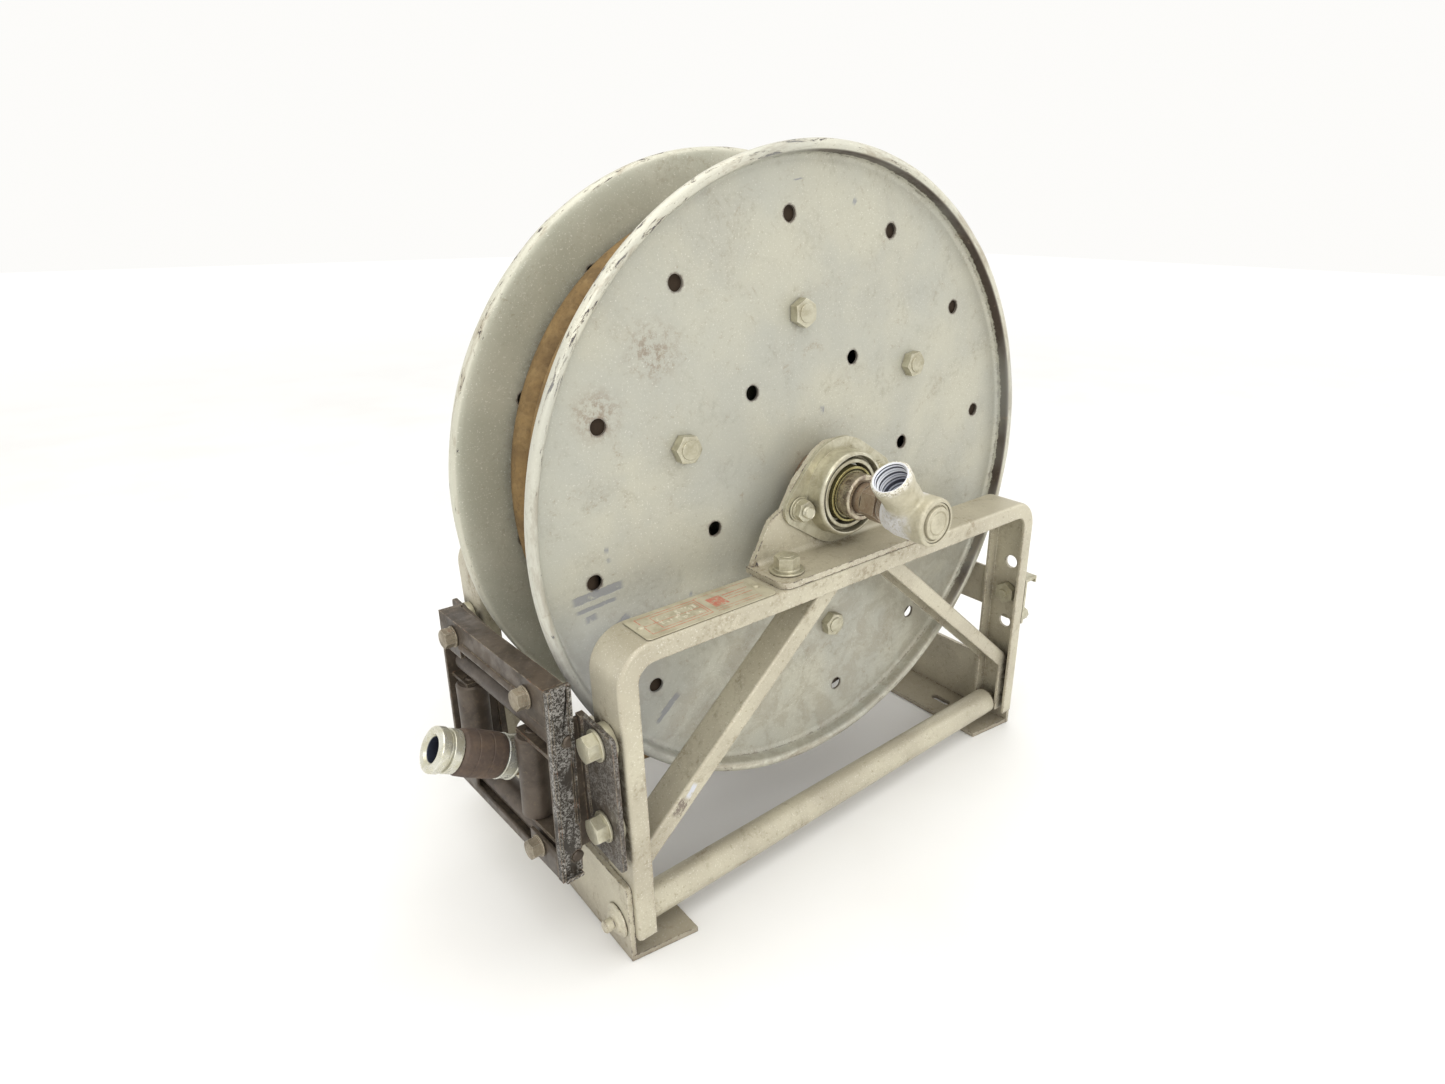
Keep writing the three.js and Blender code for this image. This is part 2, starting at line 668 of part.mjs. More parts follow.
add(
  "swivel_cap",
  turned([
    [0.001, SWIVEL_Y[0] + 4 - GAP],
    [15.2, SWIVEL_Y[0] + 4 - GAP],
    [15.2, SWIVEL_Y[0] + 1],
    [12.5, SWIVEL_Y[0] + 1],
    [11.5, SWIVEL_Y[0] - 1.5],
    [0.001, SWIVEL_Y[0] - 1.5],
  ]),
  castAlloy,
);

// ---------------------------------------------------------------- nameplate and clip
const RIVETS = [[-200, -48], [-102.5, -47]];
const plateZ = FRAME_TOP + GAP;
const labelCorners = [[-205, -65, 2], [-97, -65, 2], [-97, -31, 2], [-205, -31, 2]];
const labelSheet = plate(labelCorners, "z", [plateZ, plateZ + 0.8]);
add("nameplate", union(labelSheet, RIVETS.map((at) => rod("z", [plateZ, plateZ + 2], at, 2.4, 12))), label);

const clipX = FRAME_X + GAP;
const clipY = [-66, -34];
const clipBolt = [LEG_BOLT_Y, LEG_HOLES[1]];
const clip = union(
  block([clipX, clipX + 3], clipY, [123, 172]),
  block([clipX + 2, clipX + 19], clipY, [169, 172]),
  block([clipX + 17, clipX + 19], clipY, [165, 171]),
  rod("x", [clipX + 2, clipX + 12], [-60, 130], 6.5),
  rod("x", [clipX - 15, clipX + 8], clipBolt, BOLT_R),
  hex("x", [clipX - 11, clipX - CHANNEL_T - 2 * GAP], clipBolt, 19),
  hex("x", [clipX + 2, clipX + 9], clipBolt, 19),
);
add("hose_clip", clip, zinc);

// ---------------------------------------------------------------- hose guide
// The guide is drawn square to the frame, then turned a little about its near end.
const guidePivot = new THREE.Vector3(GUIDE_X[0], GUIDE_Y[0], (GUIDE_Z[0] + GUIDE_Z[1]) / 2);
const guideTurn = new THREE.Matrix4()
  .makeTranslation(guidePivot)
  .multiply(new THREE.Matrix4().makeRotationZ(radians(GUIDE_TURN)))
  .multiply(new THREE.Matrix4().makeRotationY(radians(GUIDE_LEAN)))
  .multiply(new THREE.Matrix4().makeTranslation(guidePivot.clone().negate()));

function turnedWithGuide(body) {
  return solid(geometryOf(body).applyMatrix4(guideTurn));
}

// The upright rollers turn between tabs on the guide's ends, and the level ones between the ends.
const UPRIGHT = [104, 171];
const UPRIGHT_X = -254.5;
const LEVEL = [GUIDE_Y[0] + 8, GUIDE_Y[1] - 8];
const LEVEL_X = -251;
const TAB_T = 2.8;
const EAR_Z = [91, 201];
const ROLLERS = {
  roller_upright_near: { axis: "z", span: UPRIGHT, across: [UPRIGHT_X, 16], radius: 12, pin: 3.4 },
  roller_upright_far: { axis: "z", span: UPRIGHT, across: [UPRIGHT_X, 113], radius: 12, pin: 3.4 },
  roller_upper: { axis: "y", span: LEVEL, across: [LEVEL_X, 186], radius: 10, pin: 9.5 },
  roller_lower: { axis: "y", span: LEVEL, across: [LEVEL_X, 90], radius: 10, pin: 9.5 },
};

function rollerPin({ axis, span: [from, to], across }, radius, reach) {
  return rod(axis, [from - reach, to + reach], across, radius);
}

const pinHoles = Object.values(ROLLERS).map((roller) => rollerPin(roller, PIN_R + PIN_PLAY, 12));

for (const [name, roller] of Object.entries(ROLLERS)) {
  const tube = rod(roller.axis, roller.span, roller.across, roller.radius, 14);
  const pin = rollerPin(roller, PIN_R, roller.pin);
  add(name, turnedWithGuide(union(tube, pin)), rollerSteel);
}

const between = [GUIDE_Y[0] + GUIDE_T + GAP, GUIDE_Y[1] - GUIDE_T - GAP];
const lipX = [GUIDE_X[0], GUIDE_X[0] + GUIDE_T];

// The top and bottom plates have a front lip, which is deeper at its two ends.
function guidePlate(sheetZ, lipZ, endZ) {
  return union(
    block(GUIDE_X, between, sheetZ),
    block(lipX, between, lipZ),
    block(lipX, [between[0], between[0] + 38], endZ),
    block(lipX, [between[1] - 30, between[1]], endZ),
  );
}

const [guideFoot, guideTop] = GUIDE_Z;
const topPlate = guidePlate([guideTop - GUIDE_T, guideTop], [210, guideTop], [200, guideTop]);
const footPlate = guidePlate([guideFoot, guideFoot + GUIDE_T], [guideFoot, 84], [guideFoot, 98]);
add("guide_top", turnedWithGuide(topPlate), blackPaint);
add("guide_bottom", turnedWithGuide(footPlate), blackPaint);

for (const end of ["near", "far"]) {
  const [y0, y1] = end === "near" ? [GUIDE_Y[0], GUIDE_Y[0] + GUIDE_T] : [GUIDE_Y[1] - GUIDE_T, GUIDE_Y[1]];
  const tabY = end === "near" ? [y0 + 1, 26] : [104, y1 - 1];
  const web = block([GUIDE_X[0], GUIDE_X[1] + 2.5], [y0, y1], GUIDE_Z);
  const tabs = [UPRIGHT[0] - GAP - TAB_T, UPRIGHT[1] + GAP].map((z) => {
    return block([UPRIGHT_X - 7.4, UPRIGHT_X + 6.5], tabY, [z, z + TAB_T]);
  });
  const frame = cut(union(web, tabs), pinHoles);

  // An angle bolts each end of the guide to a leg. One leaf lies along the leg, the other against
  // the guide's end.
  const legLeafY = end === "near" ? [-69, -23] : [GUIDE_Y[1] - 7, MIRROR_Y + 69];
  const endLeafY = end === "near" ? [y1 + GAP, y1 + 3.5] : [y0 - 3.5, y0 - GAP];
  const boltY = mirrored(end, LEG_BOLT_Y);
  const legLeaf = [
    [legLeafY[0], EAR_Z[0], 5],
    [legLeafY[1], EAR_Z[0], 5],
    [legLeafY[1], EAR_Z[1], 5],
    [legLeafY[0], EAR_Z[1], 5],
  ];
  const holes = [LEG_HOLES[0], LEG_HOLES[2]].map((z) => rod("x", [-245, -230], [boltY, z], BOLT_R + GAP));
  const endLeaf = block([-240.6, -235.5], end === "near" ? [-30, -23] : [GUIDE_Y[1] - 7, GUIDE_Y[1]], EAR_Z);
  const angle = union(plate(legLeaf, "x", [-239, -235.5]), endLeaf);
  const earZ = [EAR_Z[0] + 2, EAR_Z[1] - 2];
  const ear = turnedWithGuide(block([-246, end === "near" ? -237 : -228.5], endLeafY, earZ));
  add(`guide_end_${end}`, turnedWithGuide(frame), blackPaint);
  add(`guide_ear_${end}`, cut(union(angle, ear), holes), blackPaint);

  [LEG_HOLES[0], LEG_HOLES[2]].forEach((z, i) => {
    const at = [boltY, z];
    const bolt = union(
      rod("x", [-241.3, -239 - GAP], at, 12.5, 10),
      hex("x", [-250, -241], at, 19),
      rod("x", [-241, -218], at, BOLT_R),
      rod("x", [-235.5 + GAP, -FRAME_X - GAP], at, 13.5, 10),
      hex("x", [-226.5, -219], at, 19),
    );
    add(`guide_bolt_${end}_${i ? "upper" : "lower"}`, bolt, zinc);
  });
}

// ---------------------------------------------------------------- hose
// The wound hose is one ring of its outer shape, with the corners off where the outer turns round
// away from the discs. The end of the hose leaves it at the bottom, runs left through the guide and
// turns up a little.
const PACK_Y = [DISC_T + 0.5, DISC_GAP + DISC_T - 0.5];
const PACK_CORNER = 10;
const packProfile = [
  [BARREL_R + GAP, PACK_Y[0]],
  [PACK_R - PACK_CORNER, PACK_Y[0]],
  [PACK_R, PACK_Y[0] + PACK_CORNER],
  [PACK_R, PACK_Y[1] - PACK_CORNER],
  [PACK_R - PACK_CORNER, PACK_Y[1]],
  [BARREL_R + GAP, PACK_Y[1]],
];
add("hose_pack", turned(packProfile, DRUM_SEGMENTS), hoseRubber);

const LEAD_POINTS = [
  [0, 15.9, 105],
  [-40, 17.5, 105],
  [-80, 22.5, 105],
  [-120, 29, 105],
  [-150, 34.5, 105],
  [-175, 39, 105.5],
  [-190, 41.5, 107.5],
  [-205, 43.6, 110.8],
  [-220, 45.2, 115.4],
  [-232.5, 46.2, 120.4],
  [-246, 46.8, 126.8],
  [-259.4, 47, 134.3],
  [-272, 47, 141.9],
  [-284.8, 47, 149.6],
].map(([x, y, z]) => new THREE.Vector3(x, y, z));
const HOSE_END = new THREE.Vector3(-259.4, 47, 134.3);
const hoseDirection = new THREE.Vector3(-0.857, 0, 0.515).normalize();

const leadCurve = new THREE.CatmullRomCurve3(LEAD_POINTS, false, "centripetal");
const section = new THREE.Shape();
for (let i = 0; i < 8; i += 1) {
  const angle = (2 * Math.PI * i) / 8;
  const at = [HOSE_R * Math.cos(angle), HOSE_R * Math.sin(angle)];
  if (i) section.lineTo(...at);
  else section.moveTo(...at);
}
const lead = solid(new THREE.ExtrudeGeometry(section, { steps: 16, extrudePath: leadCurve }));
const packRoom = (PACK_R + GAP) / Math.cos(Math.PI / DRUM_SEGMENTS); // clears the pack as it turns
add("hose_lead", cut(lead, rod("y", [0, DISC_GAP], [0, AXLE_Z], packRoom, DRUM_SEGMENTS)), hoseRubber);

// A ring on the end of the hose, from its loop of [radius, distance along the hose] points.
function onHose(profile, segments = 16) {
  const points = [...profile, profile[0]].map(([r, y]) => new THREE.Vector2(r, y));
  const lathe = new THREE.LatheGeometry(points, segments);
  lathe.applyQuaternion(new THREE.Quaternion().setFromUnitVectors(Y, hoseDirection));
  return solid(lathe.translate(...HOSE_END.toArray()));
}

add("hose_clamp", onHose([[13.8, 4], [17.2, 4], [17.2, 15.6], [13.8, 15.6]]), zinc);
const hoseSleeve = [[13.8, 16], [16.6, 16], [17.2, 22], [17.2, 44], [16, 49.5], [13.8, 49.5]];
add("hose_sleeve", onHose(hoseSleeve), sleeveRubber);
const coupling = [
  [8.5, 30.2],
  [13.4, 30.2],
  [13.4, 50],
  [15.8, 50],
  [15.8, 57],
  [13.8, 58],
  [13.8, 59.5],
  [16.4, 60.5],
  [16.4, 66.5],
  [11, 67.5],
  [10.5, 62],
  [8.5, 61],
];
add("hose_coupling", onHose(coupling), zinc);

// The origin is at floor level, under the middle of everything but the hose.
reel.updateMatrixWorld(true);
const extent = new THREE.Box3();
for (const mesh of reel.children) {
  if (!mesh.name.startsWith("hose_") || mesh.name === "hose_clip") extent.expandByObject(mesh, true);
}
const middle = extent.getCenter(new THREE.Vector3());
reel.position.set(-middle.x, -middle.y, -extent.min.z);

export default reel;
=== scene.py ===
"""A spring-rewind hose reel, worn and dirty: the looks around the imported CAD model.

Shapes are drawn in millimetres in the reel's own frame: X across, Y along the axle from the near disc's
outer face, Z up from the floor. world() turns them into the row frame, in metres.
"""

import json
import math

import bmesh
import bpy
from mathutils import Matrix, Vector, noise

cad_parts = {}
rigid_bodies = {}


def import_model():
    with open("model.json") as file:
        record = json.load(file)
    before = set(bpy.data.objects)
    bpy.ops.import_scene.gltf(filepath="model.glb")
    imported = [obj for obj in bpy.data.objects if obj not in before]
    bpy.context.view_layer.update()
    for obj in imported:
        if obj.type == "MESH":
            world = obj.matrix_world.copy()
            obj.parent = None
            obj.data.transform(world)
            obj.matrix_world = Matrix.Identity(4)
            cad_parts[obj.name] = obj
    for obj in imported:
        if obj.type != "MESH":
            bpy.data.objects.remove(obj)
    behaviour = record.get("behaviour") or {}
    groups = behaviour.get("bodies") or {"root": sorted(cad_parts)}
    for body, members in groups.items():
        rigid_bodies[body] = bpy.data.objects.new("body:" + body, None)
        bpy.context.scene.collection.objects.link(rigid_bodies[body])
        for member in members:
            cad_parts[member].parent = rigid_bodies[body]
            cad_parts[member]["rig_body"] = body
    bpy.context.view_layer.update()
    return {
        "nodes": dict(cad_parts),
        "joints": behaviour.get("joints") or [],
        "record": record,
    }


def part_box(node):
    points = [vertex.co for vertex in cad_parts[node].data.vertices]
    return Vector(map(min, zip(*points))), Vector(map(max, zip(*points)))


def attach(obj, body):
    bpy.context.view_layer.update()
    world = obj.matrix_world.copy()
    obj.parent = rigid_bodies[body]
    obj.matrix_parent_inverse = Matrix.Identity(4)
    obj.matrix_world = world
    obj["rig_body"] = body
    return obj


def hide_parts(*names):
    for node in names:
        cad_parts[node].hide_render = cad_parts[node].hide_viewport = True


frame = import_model()
NODES = frame["nodes"]
BODY_OF = {node: obj["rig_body"] for node, obj in NODES.items()}
SLOT_OF = {row["node"]: row["material_slot"] for row in frame["record"]["subparts"]}

MM = 0.001
DISC_T = 2.0
DISC_GAP = 108.0
DISC_R = 255.0
HOLE_RINGS = ((12, 208, 8.3), (6, 105, 8.6))  # how many holes, their circle, and the first one's angle
HOLE_R = 5.8
CASE_Y = 112.3
TIE_CIRCLE = 138.4
JOINTS = {joint["name"]: joint for joint in frame["joints"]}
AXLE = Vector(JOINTS["drum_spin"]["pos_m"])
AXLE_Z = AXLE.z / MM
ORIGIN = Vector((AXLE.x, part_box("disc_near")[1].y - DISC_T * MM, 0))
MIRROR_Y = 139.2
ENDS = ("near", "far")
SIDES = (("left", -1), ("right", 1))
UP = Vector((0, 0, 1))
BEHIND = Vector((0, 1, 0))
ACROSS = Vector((1, 0, 0))


def world(point):
    return ORIGIN + Vector(point) * MM


def on_circle(radius, angle):
    return radius * math.cos(angle), radius * math.sin(angle)


def slanting(angle):
    """A direction in the plane of the discs, from X towards Z in degrees."""
    x, z = on_circle(1, math.radians(angle))
    return Vector((x, 0, z))


PORT_ROOT = Vector((0, -105, AXLE_Z))
PORT_WAY = slanting(128)
THREAD_PITCH = 2.7
HOSE_END = Vector((-259.4, 47, 134.3))
HOSE_WAY = Vector((-0.857, 0, 0.515)).normalized()


# ---- camera
def make_camera():
    yaw, pitch, roll = (math.radians(a) for a in (41.56, -22.005, 0.396))
    forward = Vector((math.sin(yaw) * math.cos(pitch), math.cos(yaw) * math.cos(pitch), math.sin(pitch)))
    level = Vector((math.cos(yaw), -math.sin(yaw), 0))
    upright = level.cross(forward)
    right = level * math.cos(roll) + upright * math.sin(roll)
    up = upright * math.cos(roll) - level * math.sin(roll)
    data = bpy.data.cameras.new("camera")
    data.lens, data.sensor_width = 20.30, 36
    data.shift_x, data.shift_y = -0.0506, -0.0018
    data.clip_start, data.clip_end = 0.02, 60
    camera = bpy.data.objects.new("camera", data)
    turn = Matrix((right, up, -forward)).transposed().to_4x4()
    camera.matrix_world = Matrix.Translation(Vector((-0.42758, -0.50945, 0.5166))) @ turn
    bpy.context.scene.collection.objects.link(camera)
    bpy.context.scene.camera = camera


make_camera()


# ---- materials
def rgb(hexa):
    """A linear colour from an sRGB number such as 0xb4b3a2."""
    parts = [((hexa >> shift) & 255) / 255 for shift in (16, 8, 0)]
    return (*[p / 12.92 if p <= 0.04045 else ((p + 0.055) / 1.055) ** 2.4 for p in parts], 1)


class Graph:
    """A material's node graph. Coordinates are the reel's millimetres at rest, and a mask runs from 0 to 1.
    The base colour is painted on in layers: start() lays the first, and tint() each later one."""

    def __init__(self, name, metallic=0.0, specular=0.5):
        self.material = bpy.data.materials.new(name)
        self.material.use_nodes = True
        self.nodes, self.links = self.material.node_tree.nodes, self.material.node_tree.links
        self.shader = self.nodes["Principled BSDF"]
        self.shader.inputs["Metallic"].default_value = metallic
        self.shader.inputs["Specular IOR Level"].default_value = specular
        coordinates = self.nodes.new("ShaderNodeTexCoord").outputs["Object"]
        moved = self.vector("SUBTRACT", coordinates, tuple(ORIGIN))
        self.place = self.vector("SCALE", moved, scale=1 / MM)
        self.normal, self.colour = None, None
        split = self.nodes.new("ShaderNodeSeparateXYZ")
        self.links.new(self.place, split.inputs[0])
        self.x, self.y, self.z = split.outputs

    def put(self, value, socket):
        if isinstance(value, bpy.types.NodeSocket):
            self.links.new(value, socket)
        else:
            socket.default_value = value

    def vector(self, operation, a, b=None, scale=None):
        node = self.nodes.new("ShaderNodeVectorMath")
        node.operation = operation
        self.put(a, node.inputs[0])
        if b is not None:
            self.put(b, node.inputs[1])
        if scale is not None:
            node.inputs["Scale"].default_value = scale
        return node.outputs["Value" if operation in ("DOT_PRODUCT", "LENGTH") else "Vector"]

    def calc(self, operation, a, b=0.0):
        node = self.nodes.new("ShaderNodeMath")
        node.operation = operation
        self.put(a, node.inputs[0])
        self.put(b, node.inputs[1])
        return node.outputs[0]

    def plus(self, a, b):
        return self.calc("ADD", a, b)

    def minus(self, a, b):
        return self.calc("SUBTRACT", a, b)

    def size(self, a):
        return self.calc("ABSOLUTE", a)

    def noise(self, size, detail=3.0, rough=0.55, warp=0.0, stretch=None, seed=0.0, where=None):
        """Noise whose lumps are about size millimetres; stretch scales the coordinates."""
        if where is None:
            where = self.place if stretch is None else self.vector("MULTIPLY", self.place, stretch)
        node = self.nodes.new("ShaderNodeTexNoise")
        node.noise_dimensions = "4D"
        self.links.new(where, node.inputs["Vector"])
        node.inputs["W"].default_value = seed
        node.inputs["Scale"].default_value = 1 / size
        node.inputs["Detail"].default_value = detail
        node.inputs["Roughness"].default_value = rough
        node.inputs["Distortion"].default_value = warp
        return node.outputs["Fac"]

    def ramp(self, value, low, high):
        """0 below low and 1 above high, smooth between; low may be the larger."""
        node = self.nodes.new("ShaderNodeMapRange")
        node.interpolation_type = "SMOOTHSTEP"
        flip = low > high
        self.put(value, node.inputs["Value"])
        node.inputs["From Min"].default_value = min(low, high)
        node.inputs["From Max"].default_value = max(low, high)
        node.inputs["To Min"].default_value = 1.0 if flip else 0.0
        node.inputs["To Max"].default_value = 0.0 if flip else 1.0
        return node.outputs["Result"]

    def times(self, *values):
        result = values[0]
        for value in values[1:]:
            result = self.calc("MULTIPLY", result, value)
        return result

    def either(self, *values):
        result = values[0]
        for value in values[1:]:
            result = self.calc("MAXIMUM", result, value)
        return result

    def patches(self, low, high, *noise, **more):
        """A mask of noise patches: 0 where the noise is below low, 1 where it is above high."""
        return self.ramp(self.noise(*noise, **more), low, high)

    def mix(self, amount, a, b):
        node = self.nodes.new("ShaderNodeMix")
        node.data_type = "RGBA"
        self.put(amount, node.inputs[0])
        self.put(a, node.inputs[6])
        self.put(b, node.inputs[7])
        return node.outputs[2]

    def start(self, one, other, mask):
        self.colour = self.mix(mask, rgb(one), rgb(other))

    def tint(self, colour, *masks):
        """Lays a colour where all the masks are: an sRGB number, or a socket."""
        layer = rgb(colour) if isinstance(colour, int) else colour
        self.colour = self.mix(self.times(*masks), self.colour, layer)

    def facing(self, direction):
        """1 on a face that looks along the direction, 0 on one across it."""
        normal = self.nodes.new("ShaderNodeNewGeometry").outputs["Normal"]
        return self.vector("DOT_PRODUCT", normal, direction)

    def combine(self, x, y, z):
        node = self.nodes.new("ShaderNodeCombineXYZ")
        for value, socket in zip((x, y, z), node.inputs):
            self.put(value, socket)
        return node.outputs[0]

    def polar(self):
        """The radius about the axle, and the angle from X towards Z in degrees."""
        up = self.minus(self.z, AXLE_Z)
        radius = self.calc("SQRT", self.plus(self.times(self.x, self.x), self.times(up, up)))
        return radius, self.times(self.calc("ARCTAN2", up, self.x), 180 / math.pi)

    def shaken(self, value, reach, *noise, **more):
        """A coordinate shifted by up to half of reach, which makes a line drawn along it ragged."""
        return self.plus(value, self.times(self.minus(self.noise(*noise, **more), 0.5), reach))

    def from_line(self, origin, direction):
        """How far a point is along a line, and how far it is from it."""
        from_origin = self.vector("SUBTRACT", self.place, tuple(origin))
        along = self.vector("DOT_PRODUCT", from_origin, tuple(direction))
        cross = self.vector("LENGTH", self.vector("CROSS_PRODUCT", from_origin, tuple(direction)))
        return along, cross

    def blend(self, amount, a, b):
        node = self.nodes.new("ShaderNodeMix")
        self.put(amount, node.inputs[0])
        self.put(a, node.inputs[2])
        self.put(b, node.inputs[3])
        return node.outputs[0]

    def edge(self, reach):
        """How far the surface is from flat within reach millimetres: an edge's mask."""
        node = self.nodes.new("ShaderNodeBevel")
        node.samples = 6
        node.inputs["Radius"].default_value = reach * MM
        true = self.nodes.new("ShaderNodeNewGeometry").outputs["Normal"]
        return self.calc("SUBTRACT", 1.0, self.vector("DOT_PRODUCT", node.outputs[0], true))

    def crevice(self, reach):
        """1 in a corner or a gap, 0 in the open."""
        node = self.nodes.new("ShaderNodeAmbientOcclusion")
        node.samples = 5
        node.inputs["Distance"].default_value = reach * MM
        return self.calc("SUBTRACT", 1.0, node.outputs["AO"])

    def spot(self, centre, radius, soft):
        away = self.vector("LENGTH", self.vector("SUBTRACT", self.place, centre))
        return self.ramp(away, radius, radius * (1 - soft))

    def stroke(self, centre, angle, length, width):
        """A scratch on a face across Y: centre is (x, z), and angle is from X towards Z in degrees."""
        c, s = on_circle(1, math.radians(angle))
        dx, dz = self.minus(self.x, centre[0]), self.minus(self.z, centre[1])
        along = self.plus(self.times(dx, c), self.times(dz, s))
        aside = self.minus(self.times(dz, c), self.times(dx, s))
        aside = self.size(self.shaken(aside, 2.4, 5.0, 4, 0.7))
        ends = self.ramp(self.size(along), length / 2, length / 2 - 4)
        return self.times(ends, self.ramp(aside, width / 2, width / 2 - 0.5))

    def bump(self, height, distance, strength=1.0):
        node = self.nodes.new("ShaderNodeBump")
        node.inputs["Distance"].default_value = distance * MM
        node.inputs["Strength"].default_value = strength
        self.put(height, node.inputs["Height"])
        if self.normal is not None:
            self.links.new(self.normal, node.inputs["Normal"])
        self.normal = node.outputs["Normal"]

    def done(self, roughness):
        self.put(self.colour, self.shader.inputs["Base Color"])
        self.put(roughness, self.shader.inputs["Roughness"])
        if self.normal is not None:
            self.links.new(self.normal, self.shader.inputs["Normal"])
        return self.material


FLECK = 0x85775C
# a dark brown, laid in corners and gaps as dirty patches and as painted shade
GRIME_AND_SHADE = 0x4A3F33
RUST = 0x7A4A2C
BARE = 0xC9CBD2
CHIP = 0x4B4750


def worn_paint(name, tones, dirt_and_shade, chips, extra=None):
    """Satin metallic enamel: mottled, flecked, dark in corners with dirty patches and painted shade, chipped
    along edges, and with a painted highlight along edges.
    """
    g = Graph(name, metallic=0.25)
    g.start(tones[0], tones[1], g.patches(0.35, 0.68, 70, 4, 0.6, 0.4))
    g.tint(0xEDECE4, g.patches(0.58, 0.70, 1.3, 2, 0.6), 0.45)
    pits = g.times(g.patches(0.55, 0.63, 3.4, 5, 0.8, seed=3), g.patches(0.34, 0.6, 45, 3, 0.6, seed=4))
    g.tint(FLECK, pits, 0.5 * dirt_and_shade + 0.08)
    stains = g.times(g.patches(0.50, 0.66, 34, 5, 0.7, 0.8, seed=5), g.patches(0.40, 0.62, 5, 5, 0.75))
    g.tint(0x7F6F58, stains, 0.62 * dirt_and_shade)
    # painted shade and dirty patches: dark where occlusion finds corners and gaps
    grime_and_shade = g.times(g.ramp(g.crevice(14), 0.30, 0.80), g.patches(0.30, 0.60, 8, 6, 0.75, 0.5, seed=9))
    g.tint(GRIME_AND_SHADE, grime_and_shade, 0.95 * dirt_and_shade + 0.1)
    edge = g.edge(1.7)
    torn = g.noise(6.5, 6, 0.8, 0.6, seed=11)
    worn = g.times(g.ramp(edge, 0.012, 0.08), g.ramp(torn, 0.62 - 0.1 * chips, 0.65 - 0.1 * chips))
    halo = g.times(g.ramp(edge, 0.004, 0.04), g.ramp(torn, 0.56 - 0.1 * chips, 0.62 - 0.1 * chips))
    beside = g.ramp(g.edge(5.0), 0.006, 0.10)
    specks = g.patches(0.53, 0.58, 2.6, 6, 0.85, seed=13)
    stretches = g.patches(0.60 - 0.14 * chips, 0.70 - 0.14 * chips, 24, 4, 0.7, seed=14)
    # a painted highlight: every edge is made pale
    g.tint(0xF3F0E4, g.ramp(edge, 0.02, 0.2), 0.45)
    g.tint(0x86705A, beside, specks, stretches, 0.75)
    g.tint(0x8A765A, halo, 0.6)
    g.tint(CHIP, worn)
    marks = extra(g, worn) if extra else worn
    rough = g.blend(g.either(grime_and_shade, stains), g.blend(g.noise(30, 3), 0.34, 0.5), 0.8)
    rough = g.blend(worn, rough, 0.6)
    g.bump(g.noise(2.4, 3, 0.6), 0.10, 0.35)
    g.bump(pits, 0.12, 0.35)
    g.bump(g.minus(1.0, marks), 0.25, 0.6)
    return g.done(rough)


